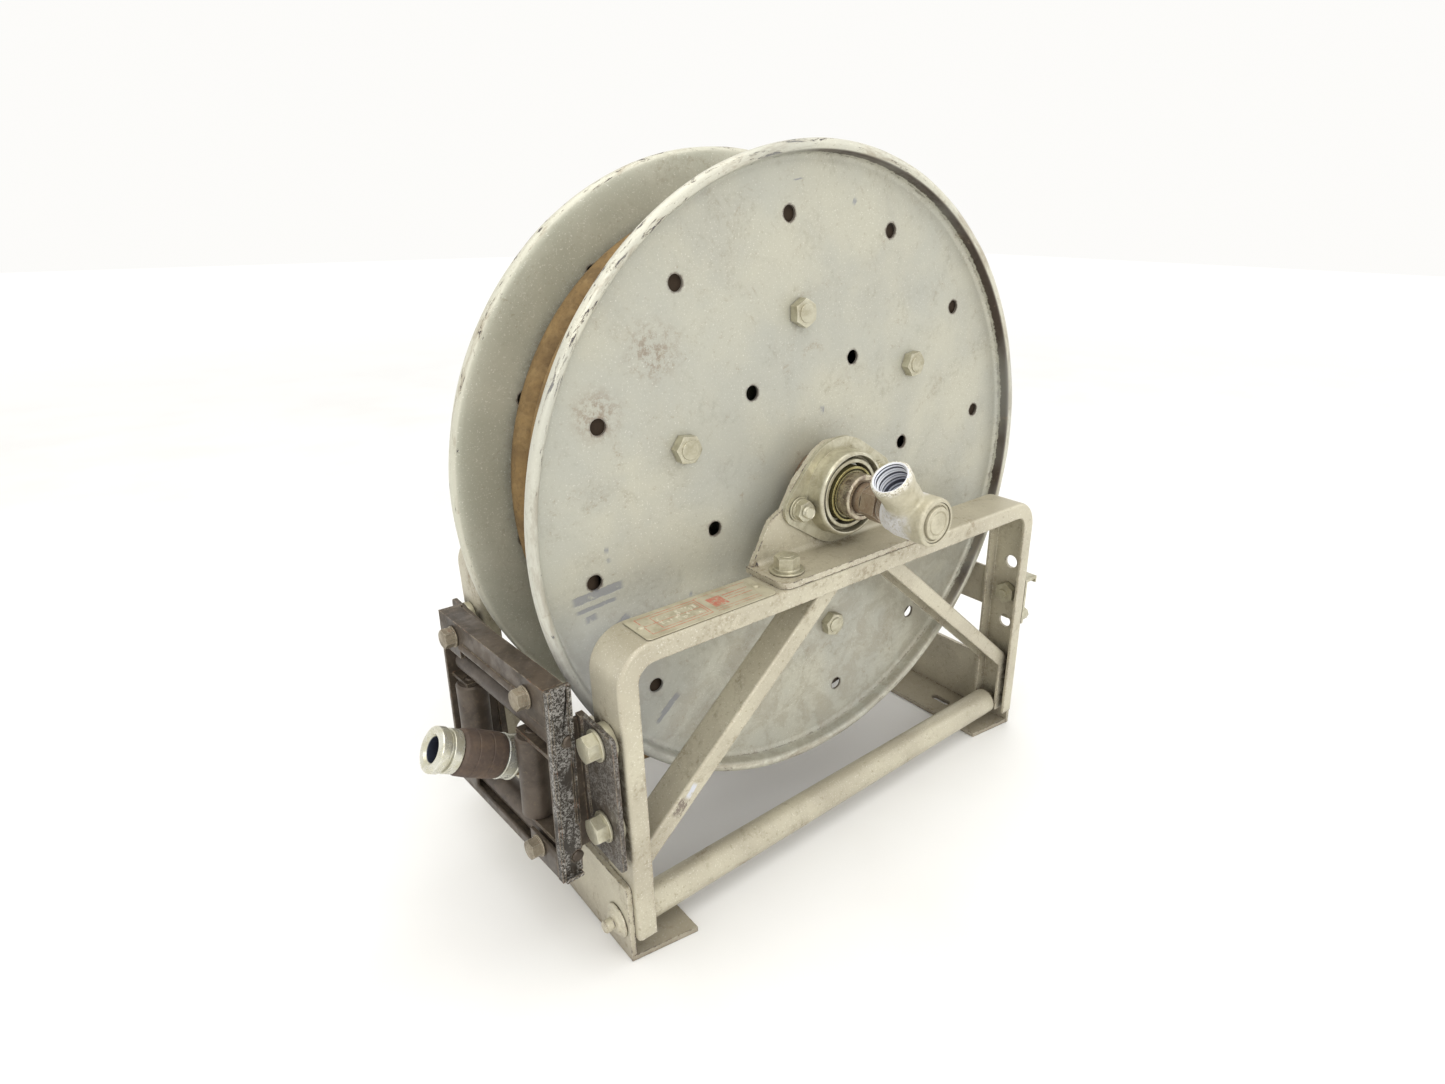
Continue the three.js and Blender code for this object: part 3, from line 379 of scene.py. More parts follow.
def disc_marks(side):
    """The dirty patches, chips and gouges of a disc, and its painted light: shade in the crevice below the
    bead, a highlight on the bead, and on the near disc a bluish shade low on the left; in polar coordinates
    about the axle.
    """

    def extra(g, worn):
        radius, angle = g.polar()
        outside = g.ramp(g.y, 0.6, -0.4) if side == "near" else g.ramp(g.y, 111, 112)
        ragged = g.shaken(radius, 9, 7, 6, 0.8, 0.5, seed=21)
        right = g.ramp(g.size(g.minus(angle, 28)), 84, 58)
        forward = g.ramp(g.shaken(g.y, 11, 6, 6, 0.85, 0.5, seed=22), -4.0, -4.9)
        # painted shade: a dark ragged line in the crevice between the lip wall and the bead
        wall = g.times(forward, g.ramp(radius, 244.6, 245.4), g.ramp(radius, 248.6, 247.8), right)
        thin = g.times(g.ramp(ragged, 245.4, 246.0), g.ramp(radius, 247.6, 246.8), g.ramp(g.y, -3.4, -2.4))
        g.tint(0x3A2C25, g.either(wall, g.times(thin, 0.55)), outside, 0.96)
        bead = g.ramp(radius, 247.2, 248.6)
        if side == "far":
            bead = g.either(g.times(bead, outside), g.ramp(radius, 252.0, 253.6))
        top_left = g.ramp(g.size(g.minus(angle, 118)), 62, 30)
        rim = g.combine(g.times(angle, 1.3), g.times(radius, 1.6), g.times(g.y, 1.6))
        streak = g.plus(g.noise(7, 6, 0.8, 0.6, seed=23, where=rim), g.times(top_left, 0.05))
        chipped = g.times(bead, g.ramp(streak, 0.62, 0.635), outside)
        rubbed = g.times(bead, g.patches(0.48, 0.62, 16, 5, 0.75, 0.6, seed=25, where=rim))
        # a painted highlight: the rolled bead is made pale
        g.tint(0xDAD8C8, bead, 0.55)
        g.tint(0x8B7A62, rubbed, outside, 0.5)
        g.tint(0x8F8168, bead, g.ramp(streak, 0.585, 0.62), outside, 0.6)
        g.tint(0x423C44, chipped)
        rims = []
        for count, ring, start in HOLE_RINGS:
            step = 360 / count
            turned = g.minus(angle, start - step / 2 - 720)
            local = g.minus(g.calc("MODULO", turned, step), step / 2)
            arc = g.times(local, math.pi / 180 * ring)
            out = g.minus(radius, ring)
            away = g.calc("SQRT", g.plus(g.times(arc, arc), g.times(out, out)))
            rims.append(g.ramp(g.plus(away, g.times(g.noise(3.5, 5, 0.8), 6)), 10.4, 8.8))
        rims = g.either(*rims)
        g.tint(0x5B4F45, rims, 0.8)
        marks = g.either(worn, chipped, g.times(rims, 0.5))
        if side == "far":
            g.tint(0x4A4448, g.ramp(radius, 248, 251), g.ramp(streak, 0.655, 0.665))
        else:
            g.tint(0xA9ABA4, g.patches(0.40, 0.66, 95, 3, 0.5, 0.3, seed=31), 0.4)
            smear = g.times(g.patches(0.54, 0.66, 20, 6, 0.8, 1.2, seed=33), g.patches(0.4, 0.6, 3, 4, 0.8))
            g.tint(0x8F806B, smear, 0.5)
            # tan patches, darker towards the bottom, fading out up to the top bar's height
            g.tint(0x8D8270, g.ramp(g.z, 262, 225), g.patches(0.42, 0.58, 26, 5, 0.75, 0.8, seed=37), 0.35)
            # painted shade: bluish grey over the lower left of the near disc
            g.tint(0xA2A6AB, g.ramp(g.x, -110, -215), g.ramp(g.z, 300, 190), 0.5)
            gouges = [  # centre (x, z), slant, length and width
                ((-204, 270), 5, 42, 7), ((-206, 261), 5, 34, 3.5), ((-195, 300), 80, 7, 4),
                ((-194, 292), 20, 6, 4), ((-211, 253), 10, 12, 6), ((-191, 240), 36, 27, 6),
                ((-152, 158), 40, 24, 6), ((-160, 150), 40, 16, 4), ((-22, 537), 8, 12, 1.6),
                ((35, 523), 60, 8, 4), ((5, 368), 80, 9, 5), ((-128, 246), 70, 7, 3),
            ]
            strokes = g.either(*[g.stroke(*gouge) for gouge in gouges])
            torn = g.times(strokes, g.patches(0.30, 0.44, 9, 4, 0.7, seed=35))
            g.tint(0x84868C, torn, 0.75)
            smut = g.times(g.spot((-193, 0, 393), 26, 0.9), g.patches(0.42, 0.58, 5, 5, 0.8, seed=39))
            smut = g.either(smut, g.times(g.spot((-150, 0, 430), 30, 0.9), g.patches(0.45, 0.6, 7, 5, 0.8)))
            g.tint(0x7C6652, smut, 0.6)
            marks = g.either(marks, torn)
        return marks

    return extra


def metal(
    name, tones, rough=(0.3, 0.5), metallic=0.7, rust=0.15, wear_and_highlight=0.5, grain=3.0, crust=None, extra=None,
):
    """Plated or bare metal: mottled, dull in places, dark in corners with rust and painted shade, and pale
    on edges with worn metal and a painted highlight.
    A crust is the function that makes its mask; extra adds marks of its own."""
    g = Graph(name, metallic=metallic)
    patches = g.patches(0.36, 0.66, 11, 5, 0.7, 0.6)
    g.start(tones[0], tones[1], patches)
    g.tint(tones[2], g.patches(0.5, 0.7, 1.6, 4, 0.75, seed=2), 0.4)
    spots = g.patches(0.66 - 0.16 * rust, 0.78 - 0.16 * rust, 5, 6, 0.8, 0.4, seed=4)
    g.tint(RUST, spots, 0.75)
    # painted shade with rusty patches: dark where occlusion finds corners
    corner = g.times(g.ramp(g.crevice(6), 0.42, 0.95), g.patches(0.25, 0.6, 4, 4, 0.7, seed=6))
    g.tint(0x463B30, corner, 0.8 if rust > 0.12 else 0.55)
    # edges painted pale: worn metal and a painted highlight
    g.tint(0xE4E1D3, g.ramp(g.edge(0.9), 0.02, 0.22), wear_and_highlight)
    dull = g.either(spots, corner)
    if crust:
        white = g.times(g.ramp(crust(g), 0, 1), g.patches(0.36, 0.52, 2.6, 6, 0.85, 0.3, seed=8))
        g.tint(0xD9D8D8, white)
        g.bump(white, 0.5, 0.7)
        dull = g.either(dull, white)
    if extra:
        extra(g)
    g.bump(g.noise(grain, 5, 0.7, seed=10), 0.18, 0.5)
    g.bump(spots, 0.15, 0.5)
    return g.done(g.blend(dull, g.blend(patches, *rough), 0.85))


def black_enamel(name, crackle=0.0):
    """Old black enamel, dusty and rubbed brown on edges. Crackle turns it white between black flakes."""
    g = Graph(name, metallic=0.1)
    g.start(0x40382F, 0x564C41, g.patches(0.4, 0.65, 26, 4, 0.6, 0.5))
    g.tint(0x76695A, g.patches(0.52, 0.66, 3.2, 5, 0.8, seed=3), 0.45)
    if crackle:
        outer = g.times(g.ramp(g.y, -27.5, -29.5), crackle)
        fine = g.patches(0.48, 0.55, 1.5, 4, 0.8, 0.3, seed=5)
        broad = g.patches(0.40, 0.50, 17, 5, 0.7, 0.6, stretch=(1, 1, 0.5), seed=6)
        flakes = g.times(fine, broad, outer)
        g.tint(0x2C2823, outer, 0.8)
        g.tint(0xB5B2AC, flakes, 0.78)
    edge = g.ramp(g.edge(1.6), 0.02, 0.2)
    g.tint(0x9A8D78, edge, g.patches(0.40, 0.58, 8, 5, 0.7, 0.5, seed=7), 0.8)
    g.tint(RUST, edge, g.patches(0.53, 0.62, 13, 5, 0.8, seed=8), 0.85)
    g.tint(0x7B6D57, g.ramp(g.crevice(9), 0.3, 0.9), g.patches(0.4, 0.7, 6, 4, 0.7, seed=9), 0.6)
    g.bump(g.noise(3, 4, 0.7, seed=10), 0.2, 0.5)
    if crackle:
        g.bump(flakes, 0.25, 0.7)
    return g.done(g.blend(g.patches(0.4, 0.65, 14, 4), 0.40, 0.68))


def roller_metal():
    """Dark, greasy steel with a painted tan highlight on its edges."""
    g = Graph("roller_dark", metallic=0.35)
    g.start(0x453C34, 0x5A5046, g.patches(0.4, 0.65, 22, 4, 0.6, 0.3))
    g.tint(0x76684F, g.patches(0.52, 0.7, 2.4, 4, 0.8, seed=2), 0.35)
    # a painted highlight: tan along the edges
    g.tint(0x9B8D74, g.ramp(g.edge(1.2), 0.02, 0.2), g.patches(0.35, 0.6, 6, 4, 0.7, seed=4), 0.8)
    g.bump(g.noise(3, 4, 0.7, seed=5), 0.15, 0.4)
    return g.done(g.blend(g.noise(9, 3), 0.34, 0.56))


def rubber(name, tones, dust, rough=0.82):
    """Dusty rubber, grimy and painted with shade in gaps, and painted nearly black as shade beside the near
    disc.
    """
    g = Graph(name, specular=0.35)
    g.start(tones[0], tones[1], g.patches(0.35, 0.68, 24, 5, 0.65, 0.5))
    g.tint(tones[2], g.patches(0.48, 0.68, 3.4, 5, 0.8, seed=3), 0.5)
    g.tint(dust, g.patches(0.45, 0.7, 12, 5, 0.75, 0.4, seed=5), 0.55)
    # painted shade: nearly black where the hose lies beside the near disc
    g.tint(0x241A12, g.ramp(g.y, 13, 7), 0.93)
    # dark in gaps found by occlusion: grimy, and painted shade
    g.tint(0x33261A, g.ramp(g.crevice(7), 0.25, 0.9), 0.8)
    g.bump(g.noise(1.6, 3, 0.6, seed=7), 0.12, 0.45)
    g.bump(g.noise(7, 4, 0.7, seed=9), 0.3, 0.4)
    return g.done(rough)


def printed_plate():
    """A plate with red rules, a red block and a scraped field: no lettering."""
    g = Graph("printed_plate", metallic=0.35)
    g.start(0xBDB7A0, 0xA79F87, g.patches(0.4, 0.65, 14, 4, 0.65, 0.4))

    def past(x0, x1, y0, y1):
        """How far a point is outside a rectangle; less than 0 inside."""
        out_x = g.minus(g.size(g.minus(g.x, (x0 + x1) / 2)), (x1 - x0) / 2)
        out_y = g.minus(g.size(g.minus(g.y, (y0 + y1) / 2)), (y1 - y0) / 2)
        return g.calc("MAXIMUM", out_x, out_y)

    def border(width, *sides):
        return g.ramp(g.size(past(*sides)), width / 2 + 0.12, width / 2 - 0.05)

    def bar(*sides):
        return g.ramp(past(*sides), 0.1, -0.1)

    red = g.either(
        border(0.7, -198, -150, -60, -36), border(0.6, -188, -152, -57, -39),
        bar(-198, -152, -48.3, -47.6), bar(-144, -132, -55, -41), bar(-130, -108, -43.2, -42.0),
        bar(-130, -112, -46.6, -45.6), bar(-130, -108, -50.2, -49.4), bar(-146, -108, -58.2, -57.6),
        bar(-150, -104, -35.2, -34.6), bar(-146, -108, -61.2, -60.7),
    )
    g.tint(0xC4604E, red, g.patches(0.66, 0.44, 2.6, 5, 0.8, seed=3), 0.8)
    scraped = g.patches(0.56, 0.6, 1.7, 3, 0.6, stretch=(0.6, 0.35, 1))
    g.tint(0xE0DCCB, bar(-186, -154, -55, -41), scraped, 0.6)
    # grimy and painted shade: dark where occlusion finds the plate's edges and rivets
    g.tint(GRIME_AND_SHADE, g.ramp(g.crevice(5), 0.2, 0.8), 0.85)
    g.tint(0x7D705A, g.patches(0.62, 0.7, 3, 5, 0.8, seed=6), 0.5)
    g.bump(g.noise(9, 3, 0.6, seed=8), 0.3, 0.4)
    g.bump(red, 0.05, 0.3)
    return g.done(g.blend(g.noise(9, 4), 0.35, 0.6))


def frame_marks(g, worn):
    """Brown feet, dust on top, dirty patches and painted shade on faces looking down in the corner under the
    top bar, and two chips on the left brace.
    """
    low = g.ramp(g.plus(g.z, g.times(g.noise(18, 4, 0.7, seed=41), 26)), 44, 14)
    g.tint(0x75695A, low, 0.42)
    front = g.ramp(g.y, -52, -56)
    pitted = g.times(front, g.stroke((-184, 112), 48, 18, 9), g.patches(0.46, 0.5, 5, 6, 0.85, 0.5, seed=43))
    bright = g.times(front, g.stroke((-174, 122), 50, 15, 5), g.patches(0.36, 0.40, 5, 4, 0.7, seed=44))
    g.tint(0x7A6E64, pitted, 0.9)
    g.tint(BARE, bright)
    # painted shade and dirty patches on faces looking down under the top bar's corner
    corner = g.times(g.spot((-205, -40, 236), 42, 0.8), g.ramp(g.facing((0.7, 0, -0.7)), 0.3, 0.6))
    g.tint(0x5E5138, corner, g.patches(0.40, 0.56, 9, 6, 0.8, 0.6, seed=45), 0.8)
    g.tint(0x8A8068, g.ramp(g.facing((0, 0, 1)), 0.75, 0.95), g.ramp(g.z, 200, 230), 0.26)
    return g.either(worn, bright, pitted)


def hub_crust(g):
    """White corrosion on the elbow between the nipple and the root of the port."""
    along, _ = g.from_line(PORT_ROOT, PORT_WAY)
    near = g.ramp(g.plus(g.y, g.times(g.noise(12, 3, 0.6), 26)), -108, -92)
    return g.times(near, g.ramp(g.plus(along, g.times(g.noise(9, 3, 0.6), 16)), 34, 20))


def port_threads(g):
    """Bluish steel in the port's bore with painted highlights and painted shade in bands on its thread, and
    a crumbling rim round it.
    """
    along, aside = g.from_line(PORT_ROOT, PORT_WAY)
    bore = g.times(g.ramp(aside, 14.2, 13.6), g.ramp(along, 16, 20))
    g.tint(0xA9AEBC, bore)
    # painted highlight and painted shade: bright and dark bands along the thread's turns
    turns = g.calc("SINE", g.times(along, 2 * math.pi / THREAD_PITCH))
    g.tint(0xEDEFF4, bore, g.ramp(turns, -0.35, 0.15))
    g.tint(0x3F414C, bore, g.ramp(turns, -0.3, -0.8))
    rim = g.times(g.ramp(along, 38, 42), g.ramp(aside, 13.4, 14.2))
    g.tint(0xE6E3DA, rim, g.patches(0.46, 0.52, 2.4, 6, 0.85, seed=51), 0.9)
    g.tint(0x5A4B3E, rim, g.patches(0.55, 0.60, 2.0, 6, 0.85, seed=52), 0.9)


def painted_dark_bore(g):
    """Painted shade: the coupling's bore is made dark."""
    _, aside = g.from_line(HOSE_END, HOSE_WAY)
    g.tint(0x434856, g.ramp(aside, 9.4, 8.9))


def bearing_tints(g):
    """The locking collar is dull zinc, and the seal between the rings is dark."""
    radius, _ = g.polar()
    collar = g.ramp(g.y, -43.2, -43.8)
    g.tint(g.mix(g.patches(0.4, 0.6, 5, 5, 0.75), rgb(0xBDB49E), rgb(0x97897A)), collar)
    seal = g.times(g.ramp(radius, 18.6, 19.2), g.ramp(radius, 20.4, 20.0))
    g.tint(0x33301F, seal, 0.8)


MATERIALS = {
    "frame_paint": worn_paint("frame_enamel", (0xC1BBA6, 0xB0A996), 0.85, 1.0, extra=frame_marks),
    "disc_near": worn_paint("disc_enamel", (0xB8B6A6, 0xADACA0), 0.35, 0.5, extra=disc_marks("near")),
    "disc_far": worn_paint("disc_far_enamel", (0xB5B4A4, 0xA8A898), 0.45, 0.5, extra=disc_marks("far")),
    "disc_paint": worn_paint("drum_enamel", (0xB8B4A6, 0xA8A599), 0.5, 0.6),
    "zinc_plate": metal("dull_zinc", (0xC2BEA9, 0xAAA48D, 0xD2CFBE)),
    "clean_zinc": metal("clean_zinc", (0xD3D4CC, 0xC2C0AD, 0xE8EAEA), (0.22, 0.36), 0.6, 0.1),
    "bare_steel": metal("rusty_steel", (0xA3937F, 0x8A7663, 0xBFB2A0), (0.35, 0.55), 0.7, 0.7),
    "cast_alloy": metal(
        "cast_alloy", (0xC2BCA6, 0xB0AA94, 0xCFCABA), (0.45, 0.62), 0.4, 0.1, grain=1.6, wear_and_highlight=0.3,
        crust=hub_crust, extra=port_threads,
    ),
    "bearing_steel": metal(
        "bearing_steel", (0xA9A070, 0x847B50, 0xCBC593), (0.2, 0.4), 0.8, 0.2, extra=bearing_tints,
    ),
    "coupling_zinc": metal(
        "coupling_zinc", (0xD3D2C6, 0xC0BCA4, 0xE8E9E6), (0.22, 0.36), 0.6, 0.12, extra=painted_dark_bore,
    ),
    "grimy_zinc": metal("grimy_zinc", (0x988E7B, 0x776D5D, 0xBDB5A3), (0.4, 0.6), 0.6, 0.6),
    "black_paint": black_enamel("black_enamel"),
    "black_crackle": black_enamel("crackled_enamel", 1.0),
    "black_grey": black_enamel("greyed_enamel", 0.45),
    "roller_steel": roller_metal(),
    "hose_rubber": rubber("hose_rubber", (0x866D46, 0x6B5638, 0x4B3B2A), 0x947C54),
    "sleeve_rubber": rubber("sleeve", (0x5B4E45, 0x4C4039, 0x6B5C50), 0x73604D, 0.7),
    "label_metal": printed_plate(),
}


# ---- shapes, as (points, faces) in millimetres
def rounded(points, closed=True, fine=7):
    """An outline with its corners rounded: a point is (u, v) or (u, v, radius)."""
    out, count = [], len(points)
    for i, point in enumerate(points):
        here = Vector(point[:2])
        radius = point[2] if len(point) > 2 else 0
        if not radius or (not closed and i in (0, count - 1)):
            out.append(here)
            continue
        before = (Vector(points[i - 1][:2]) - here).normalized()
        after = (Vector(points[(i + 1) % count][:2]) - here).normalized()
        half = math.acos(max(-1, min(1, before.dot(after)))) / 2
        reach = radius / math.tan(half)
        centre = here + (before + after).normalized() * (radius / math.sin(half))
        first, last = here + before * reach - centre, here + after * reach - centre
        start = math.atan2(first.y, first.x)
        sweep = math.atan2(last.y, last.x) - start
        sweep = (sweep + math.pi) % (2 * math.pi) - math.pi
        steps = max(2, round(fine * abs(sweep) / (math.pi / 2)))
        for k in range(steps + 1):
            angle = start + sweep * k / steps
            out.append(centre + Vector((math.cos(angle), math.sin(angle))) * radius)
    return out


def lathe(profile, segments=72, closed=True):
    """A ring or a solid turned about Z, from its loop of (radius, height) points."""
    points, faces, rings = [], [], []
    for radius, height in profile:
        if radius < 1e-4:
            rings.append([len(points)] * segments)
            points.append(Vector((0, 0, height)))
        else:
            rings.append(list(range(len(points), len(points) + segments)))
            for i in range(segments):
                angle = 2 * math.pi * i / segments
                points.append(Vector((radius * math.cos(angle), radius * math.sin(angle), height)))
    pairs = list(zip(rings, rings[1:])) + ([(rings[-1], rings[0])] if closed else [])
    for a, b in pairs:
        for i in range(segments):
            j = (i + 1) % segments
            corners = list(dict.fromkeys((a[i], a[j], b[j], b[i])))
            if len(corners) > 2:
                faces.append(corners)
    return points, faces


def rod(radius, low, high, segments=64):
    """A plain round bar along Z, or the tool that bores a hole."""
    return lathe([(0, low), (radius, low), (radius, high), (0, high)], segments, closed=False)


def prism(outline, low, high):
    """A flat piece between two heights along Z, from its outline in X and Y."""
    count = len(outline)
    points = [Vector((p[0], p[1], h)) for h in (low, high) for p in outline]
    faces = [list(range(count)), list(range(count, 2 * count))]
    faces += [[i, (i + 1) % count, count + (i + 1) % count, count + i] for i in range(count)]
    return points, faces


def block(low, high):
    (x0, y0, z0), (x1, y1, z1) = low, high
    return prism([(x0, y0), (x1, y0), (x1, y1), (x0, y1)], z0, z1)


def sweep(section, path):
    """A bar along a path in X and Z. The section's points are (y, depth to the right of the path)."""
    points, faces, count = [], [], len(section)
    headings = [(b - a).normalized() for a, b in zip(path, path[1:])]
    for i, p in enumerate(path):
        into, out = headings[max(i - 1, 0)], headings[min(i, len(headings) - 1)]
        normal = Vector((into.y + out.y, -into.x - out.x)).normalized()
        step = 1 / (normal.x * into.y - normal.y * into.x)
        points += [Vector((p.x + normal.x * d * step, y, p.y + normal.y * d * step)) for y, d in section]
    for i in range(len(path) - 1):
        for k in range(count):
            n = (k + 1) % count
            faces.append([i * count + k, i * count + n, (i + 1) * count + n, (i + 1) * count + k])
    faces.append(list(range(count)))
    faces.append(list(range((len(path) - 1) * count, len(path) * count)))
    return points, faces


def placed(part, origin=(0, 0, 0), direction=UP, spin=0.0):
    """The part with its Z axis along a direction, turned by spin degrees about itself first."""
    lean = UP.rotation_difference(Vector(direction)).to_matrix()
    turn = lean @ Matrix.Rotation(math.radians(spin), 3, "Z")
    return [turn @ p + Vector(origin) for p in part[0]], part[1]


def facing_y(part, y=0.0):
    """A part drawn as X, Z outline and Y depth: its own Z becomes Y."""
    return [Vector((p.x, p.z + y, p.y)) for p in part[0]], part[1]


def together(*parts):
    points, faces = [], []
    for some, shapes in parts:
        base = len(points)
        points += some
        faces += [[base + i for i in face] for face in shapes]
    return points, faces


def mesh_of(part, name="scratch", scale=1.0):
    mesh = bpy.data.meshes.new(name)
    mesh.from_pydata([p * scale for p in part[0]], [], part[1])
    bm = bmesh.new()
    bm.from_mesh(mesh)
    bmesh.ops.remove_doubles(bm, verts=bm.verts, dist=1e-5)
    bmesh.ops.recalc_face_normals(bm, faces=bm.faces)
    bm.to_mesh(mesh)
    bm.free()
    return mesh


def settled(obj):
    """The object's mesh with its modifiers applied."""
    graph = bpy.context.evaluated_depsgraph_get()
    return bpy.data.meshes.new_from_object(obj.evaluated_get(graph), depsgraph=graph)


def scratch(part):
    obj = bpy.data.objects.new("scratch", mesh_of(part))
    bpy.context.scene.collection.objects.link(obj)
    return obj


def worked(part, *steps):
    """The part after some modifiers. A step is (kind, settings), and a part among the settings is a tool."""
    made = [scratch(part)]
    for kind, settings in steps:
        modifier = made[0].modifiers.new(kind, kind)
        for key, value in settings.items():
            if isinstance(value, tuple) and isinstance(value[0], list):
                value = scratch(value)
                made.append(value)
            setattr(modifier, key, value)
    mesh = settled(made[0])
    result = [v.co.copy() for v in mesh.vertices], [list(p.vertices) for p in mesh.polygons]
    for obj in made:
        bpy.data.meshes.remove(obj.data)
    bpy.data.meshes.remove(mesh)
    return result


def joined(operation, part, *tools):
    settings = {"operation": operation, "solver": "EXACT"}
    return worked(part, *[("BOOLEAN", {**settings, "object": tool}) for tool in tools])


def union(part, *others):
    return joined("UNION", part, *others)


def cut(part, *tools):
    return joined("DIFFERENCE", part, *tools)


def sliced(part, point, normal):
    """The part without what lies on the normal's side of a plane."""
    bm = bmesh.new()
    mesh = mesh_of(part)
    bm.from_mesh(mesh)
    everything = bm.verts[:] + bm.edges[:] + bm.faces[:]
    found = bmesh.ops.bisect_plane(bm, geom=everything, plane_co=point, plane_no=normal, clear_outer=True)
    edges = [e for e in found["geom_cut"] if isinstance(e, bmesh.types.BMEdge)]
    bmesh.ops.holes_fill(bm, edges=edges, sides=0)
    bm.verts.ensure_lookup_table()
    result = [v.co.copy() for v in bm.verts], [[v.index for v in f.verts] for f in bm.faces]
    bm.free()
    bpy.data.meshes.remove(mesh)
    return result


def node_part(node):
    """A CAD node's mesh in millimetres, with its flat faces made whole."""
    bm = bmesh.new()
    bm.from_mesh(NODES[node].data)
    bmesh.ops.remove_doubles(bm, verts=bm.verts, dist=2e-6)
    bmesh.ops.dissolve_limit(bm, angle_limit=math.radians(0.6), verts=bm.verts, edges=bm.edges)
    bm.verts.ensure_lookup_table()
    result = [(v.co - ORIGIN) / MM for v in bm.verts], [[v.index for v in f.verts] for f in bm.faces]
    bm.free()
    return result


def show(name, part, body, slot, material=None, stands_for=(), bevel=0.0, crease=34):
    """A finished piece: edges bevelled by bevel millimetres, smooth shading, and its place in the frame."""
    obj = bpy.data.objects.new(name, mesh_of(part, name))
    bpy.context.scene.collection.objects.link(obj)
    if bevel:
        rounding = obj.modifiers.new("bevel", "BEVEL")
        rounding.width, rounding.segments = bevel, 2
        rounding.limit_method, rounding.angle_limit = "ANGLE", math.radians(28)
        obj.data = settled(obj)
        obj.modifiers.clear()
    mesh = obj.data
    mesh.name = name
    mesh.polygons.foreach_set("use_smooth", [True] * len(mesh.polygons))
    mesh.set_sharp_from_angle(angle=math.radians(crease))
    mesh.transform(Matrix.Translation(ORIGIN) @ Matrix.Scale(MM, 4))
    weigh = obj.modifiers.new("weigh", "WEIGHTED_NORMAL")
    weigh.keep_sharp = True
    obj.data = settled(obj)
    obj.modifiers.clear()
    obj.data.materials.clear()
    obj.data.materials.append(MATERIALS[material or slot])
    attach(obj, body)
    if stands_for:
        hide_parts(*stands_for)
    return obj


def stand_in(node, part, material=None, bevel=0.0, crease=34):
    """A detailed piece in place of one CAD node."""
    return show(f"{node}_fine", part, BODY_OF[node], SLOT_OF[node], material, (node,), bevel, crease)


def copied(node, material=None, bevel=0.8):
    return stand_in(node, node_part(node), material, bevel)


def span(end, low, high):
    """A range along the axle at the near end, or its mirror at the far end."""
    return (low, high) if end == "near" else (MIRROR_Y - high, MIRROR_Y - low)


def outward(end):
    return Vector((0, -1, 0)) if end == "near" else Vector((0, 1, 0))


def on_axle(part, end="near", y=0, spin=0):
    """A turned part whose own Z runs outward along the axle from a near-end Y."""
    return placed(part, (0, depth(end, y), AXLE_Z), outward(end), spin)


def depth(end, y):
    """A near-end Y, or its mirror at the far end."""
    return y if end == "near" else MIRROR_Y - y


# ---- hardware
HEXES = {}


def hexagon(flats, height, chamfer=1.6):
    """A hexagon with the corners of its top turned off, standing on Z = 0."""
    key = (flats, height, chamfer)
    if key not in HEXES:
        corner = flats / 2 / math.cos(math.pi / 6)
        points = [on_circle(corner, math.pi * i / 3) for i in range(6)]
        slope = [(corner + 2, height - chamfer - 0.2), (flats / 2 - 0.5, height)]
        turned = lathe([(0, -1), (corner + 2, -1), *slope, (0, height)], 48, closed=False)
        HEXES[key] = joined("INTERSECT", prism(points, 0, height + 1), turned)
    return HEXES[key]


def washer(radius, thickness, hole=0.0):
    r = min(0.5, thickness / 3)
    loop = [(hole, 0), (radius, 0, r), (radius, thickness, r), (hole, thickness)]
    return lathe(rounded(loop, fine=3), 48, closed=hole > 0)


def thread(radius, low, high, pitch=1.6, deep=0.75):
    """A threaded rod with a chamfered end at high."""
    profile, h = [(0, low), (radius, low)], low + pitch
    while h < high - pitch:
        profile += [(radius, h), (radius - deep, h + pitch / 2)]
        h += pitch
    profile += [(radius, h), (radius, high - 1), (radius - 1, high), (0, high)]
    return lathe(profile, 32, closed=False)


def fastener(origin, direction, layers, spin=0.0):
    """Washers, hexes and a threaded end stacked along a direction.
    A layer is ("washer", radius, from, to), ("hex", flats, from, to) or ("thread", radius, from, to)."""
    parts = []
    for kind, size, low, high in layers:
        if kind == "hex":
            parts.append(placed(hexagon(size, high - low), (0, 0, low)))
        elif kind == "washer":
            parts.append(placed(washer(size, high - low), (0, 0, low)))
        elif kind == "spring":
            split = cut(washer(size, high - low), block((1, -0.7, -9), (size + 3, 0.7, 9)))
            parts.append(placed(split, (0, 0, low)))
        else:
            parts.append(thread(size, low, high))
    whole = parts[0] if len(parts) == 1 else union(*parts)
    return placed(whole, origin, direction, spin)


# ---- side frames and braces
FRAME_X, FRAME_TOP, FRAME_FOOT = 230.0, 260.0, 21.0
LEG_HOLES, LEG_BOLT_Y = (121.0, 155.0, 188.0), -48.5


def c_section(low, high, flange, thickness, bend):
    """A bent channel's section: web at depth 0, flanges towards positive depth."""
    t = thickness
    return rounded([
        (low, flange, 0.7), (low, 0, bend), (high, 0, bend), (high, flange, 0.7),
        (high - t, flange, 0.7), (high - t, t, bend / 3), (low + t, t, bend / 3), (low + t, flange, 0.7),
    ], fine=4)


def along_x(origin, radius, reach=300, segments=28):
    return placed(rod(radius, -reach, reach, segments), origin, ACROSS)


